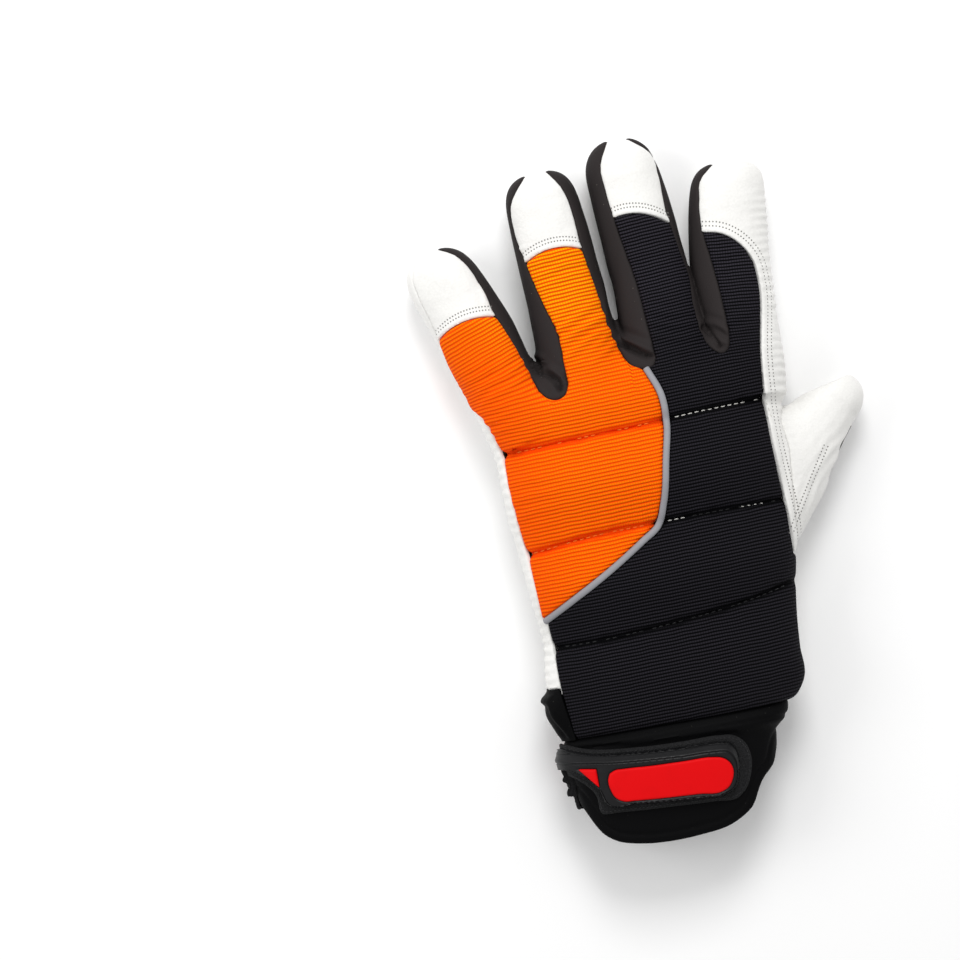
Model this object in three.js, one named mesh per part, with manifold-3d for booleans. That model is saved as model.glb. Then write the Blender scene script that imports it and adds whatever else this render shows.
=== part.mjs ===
import * as THREE from 'three';
import { mergeVertices } from 'three/addons/utils/BufferGeometryUtils.js';
import Module from 'manifold-3d';

// A padded work glove for the left hand, lying on its palm with its back up.
// The origin is on the resting face of the palm patch. +Y runs to the fingertips,
// +X to the thumb and +Z up out of the back of the hand. All sizes are in millimetres.

const wasm = await Module();
wasm.setup();

// Driving sizes
const PALM = 100;          // width across the palm, the unit of every outline in plan
const HEIGHT = 40;         // height of the padded hand, the unit of every hand height
const FINGER = 84;         // length of the middle finger
const FINGER_WIDTH = 29.5; // width of the ring finger
const FINGER_THICK = 24;   // thickness of a finger near its tip
const TIP = 15;            // length of a rounded fingertip
const THUMB_TIP = 11;      // length of the thumb's rounded tip
const THUMB = 71;          // length of the thumb from inside the palm to its tip
const THUMB_WIDTH = 31;    // width of the thumb at its middle
const LEATHER = 1.4;       // wall of the palm, thumb and tip leather
const NEOPRENE = 1.9;      // wall of the finger sides and the cuff
const PADDING = 3.6;       // wall of the quilted back
const PATCH = 1.2;         // thickness of the palm patch
const STRAP = 1.2;         // thickness of the wrist strap
const RUBBER = 1.2;        // thickness of one step of a moulded tab
const BEAD = 0.8;          // how far the piping stands proud
const PIPING = 2.2;        // width of the piping
const FOLD = 3;            // how far the side gusset bulges
const TURN = 6;            // how far below the wrist's middle the palm tab ends
const GAP = 0.3;           // space left between neighbouring pieces
const FLOOR = PATCH + GAP; // height of the palm leather above the floor
const SOLE = 1;            // how far a finger's rounded underside is pressed flat
const SEAM_HEIGHT = 7;     // height where the finger leather meets the finger sides
const BACK_LOW = 12;       // height down to which the knit wraps round the edges of the hand
const BACK = HEIGHT / 2;   // height of the middle of the wrist

// Roundness of a section: the power of its outline's curve, 2 for an ellipse.
const HAND_POWER = 2.6;
const FINGER_POWER = 2.3;
const THUMB_POWER = 2.2;

// Facets
const SAME_POINT = 1e-5;   // corners closer than this are one, in millimetres
const FINGER_SIDES = 12;
const HAND_SIDES = 18;
const TIP_STEPS = [0, 0.45, 0.78, 0.95];  // stations of a rounded tip, as shares of its length

// Sections of the hand from the cuff to the webs between the fingers.
// along, left and right are shares of PALM, bottom and top shares of HEIGHT.
const HAND_ROWS = [
  { along: -1.12, left: -0.45, right: 0.22, bottom: 0.2, top: 0.78 },
  { along: -0.9, left: -0.46, right: 0.265, bottom: 0.19, top: 0.82 },
  { along: -0.76, left: -0.475, right: 0.29, bottom: 0.17, top: 0.84 },
  { along: -0.665, left: -0.485, right: 0.315, bottom: 0.15, top: 0.84 },
  { along: -0.52, left: -0.5, right: 0.428, bottom: 0.08, top: 0.92 },
  { along: -0.4, left: -0.515, right: 0.434, bottom: 0.02, top: 0.95 },
  { along: -0.22, left: -0.498, right: 0.455, bottom: -0.03, top: 0.89 },
  { along: -0.05, left: -0.515, right: 0.48, bottom: -0.05, top: 1 },
  { along: 0.12, left: -0.53, right: 0.495, bottom: -0.05, top: 0.92 },
  { along: 0.31, left: -0.548, right: 0.515, bottom: -0.05, top: 1.02 },
  { along: 0.5, left: -0.555, right: 0.53, bottom: -0.05, top: 0.92 },
  { along: 0.62, left: -0.572, right: 0.55, bottom: -0.03, top: 0.9 },
  { along: 0.71, left: -0.56, right: 0.545, bottom: 0, top: 0.8 },
  { along: 0.79, left: -0.36, right: 0.53, bottom: 0.02, top: 0.64 },
  { along: 0.86, left: -0.25, right: 0.48, bottom: 0.08, top: 0.46 },
];
const HAND_TIP = 5;        // length of the hand's rounded end between the fingers

// Fingers. base is in shares of PALM, lean in degrees towards the thumb, length a share
// of FINGER, width and bow shares of FINGER_WIDTH, root the extra width where it leaves the hand.
// square is the power of the curve that rounds the tip.
const FINGERS = {
  little: { base: [-0.461, 0.68], lean: -20.1, length: 0.755, width: 0.97, root: -0.08, bow: 0.05, square: 2.5 },
  ring: { base: [-0.168, 0.7], lean: -4, length: 0.961, width: 0.99, root: 0.12, bow: 0.01, square: 2.7 },
  middle: { base: [0.153, 0.72], lean: -4.6, length: 1.025, width: 0.98, root: 0.15, bow: 0.03, square: 2.3 },
  index: { base: [0.433, 0.72], lean: 5, length: 0.837, width: 1.01, root: -0.1, bow: -0.08, square: 3.2 },
};

// The form that all fingers share: along is a share of the finger's length,
// width a share of its width and thick a share of FINGER_THICK.
const FINGER_ROWS = [
  { along: -0.25, width: 0.96, thick: 1.38 },
  { along: 0, width: 1, thick: 1.36 },
  { along: 0.18, width: 1.01, thick: 1.24 },
  { along: 0.42, width: 1.01, thick: 1.1 },
  { along: 0.7, width: 0.98, thick: 1.02 },
];
const FINGER_END = { width: 0.94, thick: 0.98 };
const ROOT_REACH = 0.4;    // share of a finger over which its extra width fades out

// The thumb: its base in shares of PALM, its direction in degrees from the fingers.
const THUMB_BASE = [0.28, 0.085];
const THUMB_LEAN = 50;
const THUMB_ROWS = [
  { along: 0, width: 1.45, thick: 1.2 },
  { along: 0.22, width: 1.38, thick: 1.18 },
  { along: 0.4, width: 1.2, thick: 1.1 },
  { along: 0.55, width: 0.98, thick: 1.02 },
  { along: 0.66, width: 0.82, thick: 0.95 },
];
const THUMB_END = { width: 0.62, thick: 0.86 };

// Seams along the finger backs: along is a share of the finger's length,
// left and right are shares of half its width, measured from its middle.
const SEAM_ROWS = {
  little: [
    { along: 0.06, left: -1.08, right: 0.82 },
    { along: 0.3, left: -1.08, right: 0.74 },
    { along: 0.5, left: -0.96, right: 0.67 },
    { along: 0.66, left: -0.86, right: 0.74 },
    { along: 0.82, left: -0.78, right: 0.74 },
    { along: 0.9, left: -0.68, right: 0.64 },
    { along: 1, left: -0.36, right: 0.3 },
  ],
  ring: [
    { along: 0.1, left: -0.46, right: 0.91 },
    { along: 0.24, left: -0.45, right: 0.81 },
    { along: 0.4, left: -0.66, right: 0.77 },
    { along: 0.61, left: -0.83, right: 0.67 },
    { along: 0.76, left: -0.91, right: 0.67 },
    { along: 0.89, left: -0.78, right: 0.57 },
    { along: 1, left: -0.23, right: 0.27 },
  ],
  middle: [
    { along: 0.1, left: -0.38, right: 0.78 },
    { along: 0.22, left: -0.41, right: 0.81 },
    { along: 0.34, left: -0.43, right: 0.93 },
    { along: 0.49, left: -0.51, right: 0.86 },
    { along: 0.63, left: -0.57, right: 0.8 },
    { along: 0.79, left: -0.59, right: 0.89 },
    { along: 0.9, left: -0.52, right: 0.86 },
    { along: 1, left: -0.13, right: 0.29 },
  ],
  index: [
    { along: 0.1, left: -0.42, right: 0.59 },
    { along: 0.34, left: -0.44, right: 0.56 },
    { along: 0.5, left: -0.55, right: 0.52 },
    { along: 0.63, left: -0.69, right: -0.05 },
    { along: 0.8, left: -0.75, right: -0.05 },
    { along: 0.92, left: -0.69, right: -0.05 },
    { along: 1, left: -0.35, right: -0.05 },
  ],
};

// Where each tip cap starts on its two seams, as shares of the finger's length.
const CAP_LINE = {
  little: { left: 0.52, right: 0.47 },
  ring: { left: 0.6, right: 0.6 },
  middle: { left: 0.66, right: 0.58 },
  index: { left: 0.63, right: 0.63 },
};
const CAP_STEP = 0.01;     // a cap's seam goes on from just past its line
const PAST_TIP = 1.3;

// Outlines in plan, in shares of PALM. Each web is a rounded notch, from the finger nearer
// the little finger's edge to the next one.
const FAR = 1.6;           // where an open side of an outline lies, past the glove
const WEB_LITTLE_RING = [[-0.353, 0.696], [-0.324, 0.662], [-0.29, 0.652], [-0.262, 0.664], [-0.243, 0.703]];
const WEB_RING_SIDE = [[-0.02, 0.762], [-0.003, 0.735], [0.029, 0.715]];
const WEB_MIDDLE_SIDE = [[0.081, 0.716], [0.09, 0.74]];
const WEB_MIDDLE_INDEX = [[0.289, 0.767], [0.31, 0.733], [0.335, 0.716], [0.357, 0.724], [0.369, 0.753]];
const PIPING_LINE = [
  [0.05, 0.708], [0.086, 0.6], [0.0885, 0.512], [0.059, 0.363], [0.0235, 0.208], [-0.005, 0.136],
  [-0.078, 0.083], [-0.162, 0.029], [-0.25, -0.023], [-0.349, -0.077], [-0.475, -0.146],
];
const ULNAR_SEAM = [[-0.485, -0.14], [-0.5, 0.08], [-0.525, 0.34], [-0.535, 0.5], [-0.562, 0.6], [-0.59, 0.65]];
const THUMB_LOW = -0.054;  // where the thumb starts on the edge of the hand
const STRIP_EDGE = [[0.517, 1.03], [0.523, 0.96], [0.475, 0.67], [0.463, 0.4], [0.479, 0.07], [0.479, THUMB_LOW]];
const STRIP_TOP = [[0.411, 1.156], [0.48, 1.1]];
const HAND_EDGE = [[0.5, THUMB_LOW], [0.508, 0.12], [0.523, 0.31], [0.54, 0.49], [0.62, 0.52]];
const THUMB_TOP = 0.75;     // where the thumb's part of the plan ends, towards the fingers
const THUMB_HIGH = 0.68;    // top of the thumb's part, as a share of HEIGHT
const THUMB_SEAM_LOW = -0.37;
const CUFF_SEAM = -0.598;
const HEM = [
  [0.8, -0.72], [0.3, -0.746], [0.27, -0.813], [0.22, -0.855], [0.193, -0.895], [0.175, -0.93],
  [0.131, -0.972], [0.072, -1], [-0.05, -1.018], [-0.17, -1.022], [-0.356, -0.991],
  [-0.399, -0.962], [-0.437, -0.905], [-0.463, -0.852], [-0.483, -0.812], [-0.8, -0.78],
];
const THUMB_SEAM = [
  [0.383, THUMB_SEAM_LOW], [0.325, -0.222], [0.281, -0.091], [0.275, 0.046],
  [0.306, 0.181], [0.36, 0.3], [0.42, 0.36], [0.5, 0.42], [0.54, 0.49], [0.62, 0.52],
];
const THUMB_SIDE_LINE = [[0.52, 0.07], [0.6, 0.19], [0.68, 0.3], [0.74, 0.375]];
const GUSSET_EDGE = [[-0.47, -0.4], [-0.44, CUFF_SEAM]];
const GUSSET = [[-FAR, -0.4], ...GUSSET_EDGE, [-FAR, CUFF_SEAM]];
const BLACK_LEFT = [[-0.465, -0.4], [-0.468, -0.2]];
const PATCH_OUTLINE = [
  [-0.44, 0.29], [-0.455, 0.6], [-0.43, 0.7], [-0.36, 0.72], [-0.3, 0.69], [-0.25, 0.62],
  [-0.19, 0.61], [-0.15, 0.66], [-0.12, 0.77], [-0.04, 0.8], [0.01, 0.72], [0.067, 0.64],
  [0.12, 0.65], [0.155, 0.77], [0.21, 0.8], [0.28, 0.77], [0.32, 0.68], [0.4, 0.64],
  [0.47, 0.59], [0.48, 0.5], [0.43, 0.44], [0.33, 0.4], [0.25, 0.28], [0.21, 0.13],
  [0.19, -0.12], [0.17, -0.26], [0.11, -0.29], [-0.12, -0.305], [-0.36, -0.28], [-0.4, 0],
];

// The wrist strap and its two moulded tabs. A band is the cloth that shows round a tab.
const BACK_BAND = [
  [-0.56, -0.6], [-0.485, -0.612], [-0.434, -0.629], [-0.231, -0.657], [0.082, -0.667], [0.134, -0.676],
  [0.17, -0.707], [0.185, -0.757], [0.172, -0.832], [0.153, -0.87], [0.111, -0.905], [-0.33, -0.884],
  [-0.395, -0.879], [-0.406, -0.807], [-0.43, -0.773], [-0.466, -0.743], [-0.56, -0.7],
];
const BACK_TAB = [
  [-0.56, -0.62], [-0.487, -0.63], [-0.437, -0.645], [-0.234, -0.672], [0.078, -0.688], [0.113, -0.695],
  [0.137, -0.725], [0.141, -0.761], [0.13, -0.824], [0.113, -0.863], [0.08, -0.882], [-0.151, -0.875],
  [-0.367, -0.855], [-0.382, -0.838], [-0.388, -0.804], [-0.411, -0.765], [-0.457, -0.724], [-0.56, -0.672],
];
const BACK_LOZENGE = [
  [-0.34, -0.733], [-0.32, -0.724], [-0.291, -0.724], [-0.067, -0.734], [0.04, -0.738], [0.074, -0.746],
  [0.097, -0.765], [0.107, -0.796], [0.098, -0.831], [0.078, -0.857], [0.052, -0.87], [-0.265, -0.848],
  [-0.306, -0.844], [-0.332, -0.826], [-0.347, -0.794], [-0.349, -0.752],
];
const BACK_WEDGE = [[-0.451, -0.7], [-0.386, -0.71], [-0.386, -0.781], [-0.409, -0.753]];
const PALM_BAND = [
  [-0.56, -0.62], [-0.461, -0.62], [-0.229, -0.635], [-0.21, -0.612], [-0.095, -0.58], [-0.055, -0.585],
  [0.078, -0.678], [0.09, -0.71], [0.08, -0.88], [0.058, -0.912], [-0.104, -0.966], [-0.14, -0.956],
  [-0.224, -0.905], [-0.302, -0.897], [-0.425, -0.875], [-0.56, -0.84],
];
const PALM_TAB = [
  [-0.56, -0.64], [-0.461, -0.634], [-0.229, -0.65], [-0.21, -0.63], [-0.095, -0.592], [-0.061, -0.6],
  [0.066, -0.688], [0.076, -0.71], [0.067, -0.877], [0.05, -0.904], [-0.104, -0.954], [-0.133, -0.944],
  [-0.224, -0.893], [-0.302, -0.885], [-0.423, -0.862], [-0.56, -0.82],
];
const PALM_BADGE = [
  [-0.247, -0.673], [-0.238, -0.653], [-0.097, -0.606], [-0.072, -0.607], [0.053, -0.685], [0.066, -0.707],
  [0.055, -0.868], [0.041, -0.894], [-0.099, -0.94], [-0.126, -0.936], [-0.249, -0.853], [-0.261, -0.832],
];
const PALM_WEDGE = [[-0.46, -0.668], [-0.402, -0.673], [-0.406, -0.753], [-0.46, -0.69]];
const STRAP_END = [
  [-0.44, -0.68], [-0.522, -0.69], [-0.508, -0.72], [-0.513, -0.745],
  [-0.494, -0.761], [-0.506, -0.795], [-0.48, -0.812], [-0.44, -0.79],
];
const STEP_INSET = 1.4;    // how far a tab's upper step lies inside its edge, in millimetres

// Walls: how far the hollow lies inside the outer form, on its side, top, bottom and end.
const OUTER = { side: 0, top: 0, bottom: 0 };
const HAND_HOLLOW = { side: -NEOPRENE, top: -PADDING, bottom: -LEATHER };
const FINGER_HOLLOW = { side: -NEOPRENE, top: -(PADDING + LEATHER) / 2, bottom: -LEATHER };
const THUMB_HOLLOW = { side: -LEATHER, top: -LEATHER, bottom: -LEATHER };
const grown = (by) => ({ side: by, top: by, bottom: by });

// Solid from closed three.js geometry.
function solid(geometry) {
  geometry.deleteAttribute('normal');
  geometry.deleteAttribute('uv');
  const merged = mergeVertices(geometry, SAME_POINT);
  return new wasm.Manifold(new wasm.Mesh({
    numProp: 3,
    vertProperties: merged.attributes.position.array,
    triVerts: new Uint32Array(merged.index.array),
  }));
}

// Closed loft through rings of equal count, with its first ring closed flat and its last to a point.
function loft(rings, apex) {
  const count = rings[0].length;
  const points = rings.flat();
  const start = points.push(middle(rings[0])) - 1;
  const end = points.push(apex) - 1;
  const triangles = [];
  for (let side = 0; side < count; side += 1) {
    const next = (side + 1) % count;
    triangles.push(start, side, next);
    for (let ring = 0; ring < rings.length - 1; ring += 1) {
      const low = ring * count;
      const high = low + count;
      triangles.push(low + side, high + side, low + next);
      triangles.push(low + next, high + side, high + next);
    }
    const last = (rings.length - 1) * count;
    triangles.push(last + side, end, last + next);
  }
  const geometry = new THREE.BufferGeometry().setFromPoints(points);
  geometry.setIndex(triangles);
  return solid(geometry);
}

function middle(points) {
  const sum = points.reduce((total, point) => total.add(point), new THREE.Vector3());
  return sum.divideScalar(points.length);
}

// Ring of a rounded section that stands across the direction in plan, flattened at the floor.
function sectionRing(centre, lean, halfWidth, bottom, top, power, count, floor) {
  const ring = [];
  for (let step = 0; step < count; step += 1) {
    const angle = (step / count) * 2 * Math.PI;
    const across = halfWidth * rounded(Math.cos(angle), power);
    const rise = (top - bottom) / 2 * rounded(Math.sin(angle), power);
    ring.push(new THREE.Vector3(
      centre.x + across * Math.cos(lean),
      centre.y - across * Math.sin(lean),
      Math.max((top + bottom) / 2 + rise, floor),
    ));
  }
  return ring;
}

const rounded = (value, power) => Math.sign(value) * Math.abs(value) ** (2 / power);

function handForm(wall) {
  const rings = HAND_ROWS.map((row) => sectionRing(
    new THREE.Vector2((row.left + row.right) / 2 * PALM, row.along * PALM),
    0,
    (row.right - row.left) / 2 * PALM + wall.side,
    row.bottom * HEIGHT - wall.bottom,
    row.top * HEIGHT + wall.top,
    HAND_POWER,
    HAND_SIDES,
    FLOOR - wall.bottom,
  ));
  const last = HAND_ROWS.at(-1);
  const end = last.along * PALM + HAND_TIP + wall.side;
  return loft(rings, new THREE.Vector3(0, end, (last.top + last.bottom) / 2 * HEIGHT));
}

// Plan point of a finger: along is a share of its length, across a share of half its width.
function fingerPoint(name, along, across) {
  const { base, lean, length, width, root, bow } = FINGERS[name];
  const angle = THREE.MathUtils.degToRad(lean);
  const curve = bow * FINGER_WIDTH * Math.sin(Math.PI * THREE.MathUtils.clamp(along, 0, 1));
  const spread = THREE.MathUtils.clamp(1 - along / ROOT_REACH, 0, 1);
  const aside = across * FINGER_WIDTH * width / 2 * (1 + root * spread) + curve;
  const forward = along * length * FINGER;
  return new THREE.Vector2(
    base[0] * PALM + forward * Math.sin(angle) + aside * Math.cos(angle),
    base[1] * PALM + forward * Math.cos(angle) - aside * Math.sin(angle),
  );
}

function fingerForm(name, wall) {
  const { lean, length, square } = FINGERS[name];
  const angle = THREE.MathUtils.degToRad(lean);
  const reach = length * FINGER;
  const floor = FLOOR - wall.bottom;
  const stations = FINGER_ROWS.map((row) => ({ ...row, taper: 1 }));
  const start = 1 - TIP / reach;
  const tip = 1 + wall.side / reach;
  for (const step of TIP_STEPS) {
    const taper = (1 - step ** square) ** (1 / square);
    stations.push({ ...FINGER_END, along: start + (tip - start) * step, taper });
  }
  const rings = stations.map(({ along, width, thick, taper }) => {
    const centre = fingerPoint(name, along, 0);
    const edge = fingerPoint(name, along, 1);
    const height = thick * FINGER_THICK;
    const mid = FLOOR - SOLE + height / 2;
    const halfTop = (height / 2 + wall.top) * taper;
    const halfBottom = (height / 2 + wall.bottom) * taper;
    const half = (centre.distanceTo(edge) * width + wall.side) * taper;
    return sectionRing(centre, angle, half, mid - halfBottom, mid + halfTop, FINGER_POWER, FINGER_SIDES, floor);
  });
  const apex = fingerPoint(name, tip, 0);
  return loft(rings, new THREE.Vector3(apex.x, apex.y, FLOOR - SOLE + FINGER_END.thick * FINGER_THICK / 2));
}

function thumbPoint(along, across) {
  const angle = THREE.MathUtils.degToRad(THUMB_LEAN);
  const forward = along * THUMB;
  return new THREE.Vector2(
    THUMB_BASE[0] * PALM + forward * Math.sin(angle) + across * Math.cos(angle),
    THUMB_BASE[1] * PALM + forward * Math.cos(angle) - across * Math.sin(angle),
  );
}

function thumbForm(wall) {
  const angle = THREE.MathUtils.degToRad(THUMB_LEAN);
  const floor = FLOOR - wall.bottom;
  const stations = THUMB_ROWS.map((row) => ({ ...row, taper: 1 }));
  const start = 1 - THUMB_TIP / THUMB;
  const tip = 1 + wall.side / THUMB;
  for (const step of TIP_STEPS) {
    const taper = Math.sqrt(1 - step * step);
    stations.push({ ...THUMB_END, along: start + (tip - start) * step, taper });
  }
  const rings = stations.map(({ along, width, thick, taper }) => {
    const height = thick * FINGER_THICK;
    const mid = FLOOR - SOLE + height / 2;
    const half = (width * THUMB_WIDTH / 2 + wall.side) * taper;
    const low = mid - (height / 2 + wall.bottom) * taper;
    const high = mid + (height / 2 + wall.top) * taper;
    return sectionRing(thumbPoint(along, 0), angle, half, low, high, THUMB_POWER, FINGER_SIDES, floor);
  });
  const apex = thumbPoint(tip, 0);
  return loft(rings, new THREE.Vector3(apex.x, apex.y, FLOOR - SOLE + THUMB_END.thick * FINGER_THICK / 2));
}

// Whole glove form, grown or shrunk by the walls of its hand, fingers and thumb.
function gloveForm(handWall, fingerWall, thumbWall) {
  let form = handForm(handWall).add(thumbForm(thumbWall));
  for (const name of Object.keys(FINGERS)) form = form.add(fingerForm(name, fingerWall));
  return form;
}

// Plan outlines. A cutter is the outline, moved in or out by a margin, between two heights.
const plan = (rows) => rows.map(([x, y]) => new THREE.Vector2(x * PALM, y * PALM));

function movedOutline(outline, margin) {
  const clockwise = THREE.ShapeUtils.area(outline) < 0;
  const points = clockwise ? [...outline].reverse() : outline;
  return points.map((point, index) => {
    const before = points.at(index - 1);
    const after = points[(index + 1) % points.length];
    const first = new THREE.Vector2().subVectors(point, before).normalize();
    const second = new THREE.Vector2().subVectors(after, point).normalize();
    const normal = new THREE.Vector2(first.y + second.y, -first.x - second.x).normalize();
    const spread = Math.max(0.5, normal.x * first.y - normal.y * first.x);
    return point.clone().addScaledVector(normal, margin / spread);
  });
}

function prism(outline, low, high, margin = 0) {
  const shape = new THREE.Shape(movedOutline(outline, margin));
  const geometry = new THREE.ExtrudeGeometry(shape, {
    depth: high - low + 2 * margin, bevelEnabled: false, steps: 1,
  });
  geometry.translate(0, 0, low - margin);
  return solid(geometry);
}

const SKY = 3 * HEIGHT;    // well above and well below the glove
const BELOW = -HEIGHT;

// A region of the glove: its outline in plan and the heights it covers.
class Region {
  constructor(outline, low, high) {
    this.outline = outline;
    this.low = low;
    this.high = high;
  }

  inside() {
    return prism(this.outline, this.low, this.high, -GAP / 2);
  }

  around() {
    return prism(this.outline, this.low, this.high, GAP / 2);
  }
}

// Seam of one finger from the hand to past the tip.
function seam(name, side, from = 0, to = PAST_TIP) {
  const rows = SEAM_ROWS[name].filter((row) => row.along > from && row.along < to);
  const points = rows.map((row) => fingerPoint(name, row.along, row[side]));
  if (to >= PAST_TIP) points.push(fingerPoint(name, PAST_TIP, SEAM_ROWS[name].at(-1)[side]));
  return points;
}

// Point of a seam at a share of the finger's length.
function seamPoint(name, side, along) {
  const rows = SEAM_ROWS[name];
  const after = rows.findIndex((row) => row.along >= along);
  const [low, high] = [rows[after - 1], rows[after]];
  const share = (along - low.along) / (high.along - low.along);
  return fingerPoint(name, along, THREE.MathUtils.lerp(low[side], high[side], share));
}

// Seam of one finger from the hand up to its cap, and from its cap on past the tip.
function seamToCap(name, side) {
  const line = CAP_LINE[name][side];
  return [...seam(name, side, 0, line), seamPoint(name, side, line)];
}

function seamOfCap(name, side) {
  const line = CAP_LINE[name][side];
  return [seamPoint(name, side, line), ...seam(name, side, line + CAP_STEP)];
}

const down = (points) => [...points].reverse();

function sideRegion(lower, upper, web) {
  const outline = [...down(plan(web)), ...seam(lower, 'right'), ...down(seam(upper, 'left'))];
  return new Region(outline, SEAM_HEIGHT, SKY);
}

function capRegion(name) {
  return new Region([...seamOfCap(name, 'right'), ...down(seamOfCap(name, 'left'))], SEAM_HEIGHT, SKY);
}

// Both edges of the piping: its line moved aside by half its width.
function pipingEdge(side) {
  const line = plan(PIPING_LINE);
  return line.map((point, index) => {
    const before = line[Math.max(index - 1, 0)];
    const after = line[Math.min(index + 1, line.length - 1)];
    const way = new THREE.Vector2().subVectors(after, before).normalize();
    return new THREE.Vector2(point.x + way.y * side * PIPING / 2, point.y - way.x * side * PIPING / 2);
  });
}

const [orangeEdge, blackEdge] = [pipingEdge(1), pipingEdge(-1)];

const regions = {
  back_orange: new Region([
    ...plan(ULNAR_SEAM),
    ...seamToCap('little', 'left'), ...down(seamToCap('little', 'right')),
    ...plan(WEB_LITTLE_RING),
    ...seamToCap('ring', 'left'), ...down(seamToCap('ring', 'right')),
    ...plan(WEB_RING_SIDE), ...orangeEdge,
  ], BACK_LOW, SKY),
  back_black: new Region([
    ...down(blackEdge), ...plan(WEB_MIDDLE_SIDE),
    ...seamToCap('middle', 'left'), ...down(seamToCap('middle', 'right')),
    ...plan(WEB_MIDDLE_INDEX),
    ...seamToCap('index', 'left'),
    ...plan([...STRIP_TOP, ...STRIP_EDGE, [FAR, THUMB_LOW], [FAR, CUFF_SEAM]]),
    ...plan([GUSSET_EDGE[1], ...BLACK_LEFT]),
  ], BACK_LOW, SKY),
  piping: new Region([...down(blackEdge), ...orangeEdge], SEAM_HEIGHT, SKY),
  cap_little: capRegion('little'),
  cap_ring: capRegion('ring'),
  cap_middle: capRegion('middle'),
  index_overlay: new Region([
    ...seamOfCap('index', 'left'),
    ...plan([[FAR, FAR], [FAR, THUMB_TOP], ...down(HAND_EDGE), ...down(STRIP_EDGE), ...down(STRIP_TOP)]),
  ], SEAM_HEIGHT, SKY),
  side_little_ring: sideRegion('little', 'ring', WEB_LITTLE_RING),
  side_ring_middle: sideRegion('ring', 'middle', [...WEB_RING_SIDE, PIPING_LINE[0], ...WEB_MIDDLE_SIDE]),
  side_middle_index: sideRegion('middle', 'index', WEB_MIDDLE_INDEX),
  side_gusset: new Region(plan(GUSSET), SEAM_HEIGHT, SKY),
  thumb: new Region(plan([...HAND_EDGE, [FAR, THUMB_TOP], [FAR, THUMB_LOW]]), BELOW, THUMB_HIGH * HEIGHT),
  thumb_base: new Region(plan([...THUMB_SEAM, [FAR, THUMB_TOP], [FAR, THUMB_SEAM_LOW]]), BELOW, SEAM_HEIGHT),
  thumb_side: new Region(plan([...THUMB_SIDE_LINE, [FAR, 0.375], [FAR, 0.07]]), SEAM_HEIGHT, 2 * SEAM_HEIGHT),
  cuff: new Region(plan([[-FAR, CUFF_SEAM], [FAR, CUFF_SEAM], ...HEM]), BELOW, SKY),
};

// Hollow wall of the whole glove.
const outer = gloveForm(OUTER, OUTER, OUTER);
const hollow = gloveForm(HAND_HOLLOW, FINGER_HOLLOW, THUMB_HOLLOW);
const shell = outer.subtract(hollow);

const cutFrom = (body, name) => body.intersect(regions[name].inside());
const left = (body, names) => names.reduce((rest, name) => rest.subtract(regions[name].around()), body);

const pieces = {};
for (const name of ['back_orange', 'back_black', 'cap_little', 'cap_ring', 'cap_middle', 'index_overlay',
  'side_little_ring', 'side_ring_middle', 'side_middle_index', 'cuff']) {
  pieces[name] = cutFrom(shell, name);
}

// The gusset is a loose fold, so it stands proud of the hand.
pieces.side_gusset = handForm(grown(FOLD)).subtract(hollow).intersect(regions.side_gusset.inside());

// The thumb takes its base on the palm as well, and its black side strip is cut out of it.
const thumbBody = cutFrom(shell, 'thumb').add(cutFrom(shell, 'thumb_base'));
pieces.thumb_side = cutFrom(thumbBody, 'thumb_side');
pieces.thumb_leather = left(thumbBody, ['thumb_side']);

// The palm leather is what the other pieces leave.
pieces.palm_leather = left(shell, [
  'back_orange', 'back_black', 'piping', 'cap_little', 'cap_ring', 'cap_middle', 'index_overlay',
  'side_little_ring', 'side_ring_middle', 'side_middle_index', 'side_gusset', 'thumb', 'thumb_base',
]).intersect(prism(plan([[-FAR, CUFF_SEAM], [FAR, CUFF_SEAM], [FAR, FAR], [-FAR, FAR]]), BELOW, SKY, -GAP / 2));

// Layers that lie on the glove.
const layer = (low, high) => handForm(grown(high)).subtract(handForm(grown(low)));
const wholeGrown = (by) => gloveForm(grown(by), grown(by), grown(by));

pieces.piping = wholeGrown(BEAD).subtract(hollow).intersect(regions.piping.inside());
pieces.palm_patch = wholeGrown(FLOOR).subtract(wholeGrown(GAP))
  .intersect(prism(plan(PATCH_OUTLINE), 0, SEAM_HEIGHT));

// The strap runs round the little finger's edge of the wrist, and its rough end stands out there.
const STRAP_TOP = GAP + STRAP;
const TAB_LOW = STRAP_TOP + GAP;
const TAB_STEP = TAB_LOW + RUBBER;
const TAB_TOP = TAB_STEP + RUBBER;
const SLOT = STRAP + 2 * GAP;

const band = prism(plan(BACK_BAND), BACK, SKY).add(prism(plan(PALM_BAND), BELOW, BACK + GAP));
const strapEnd = prism(plan(STRAP_END), BACK - STRAP, BACK + STRAP).subtract(handForm(grown(GAP)));
pieces.wrist_strap = layer(GAP, STRAP_TOP).intersect(band).add(strapEnd);

// A moulded tab: a flange, a raised step inside it, and pockets for its inlays.
function tab(outline, low, high, inlays) {
  const flange = layer(TAB_LOW, TAB_STEP).intersect(prism(plan(outline), low, high));
  const inset = movedOutline(plan(outline), -STEP_INSET);
  const step = layer(TAB_STEP - GAP, TAB_TOP).intersect(prism(inset, low, high));
  const pockets = inlays.map((inlaid) => (
    layer(TAB_STEP, 2 * TAB_TOP).intersect(prism(plan(inlaid), low, high, GAP))));
  return pockets.reduce((body, pocket) => body.subtract(pocket), flange.add(step));
}

const inlay = (outline, low, high) => (
  layer(TAB_STEP + GAP, TAB_TOP + GAP).intersect(prism(plan(outline), low, high)));

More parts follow.
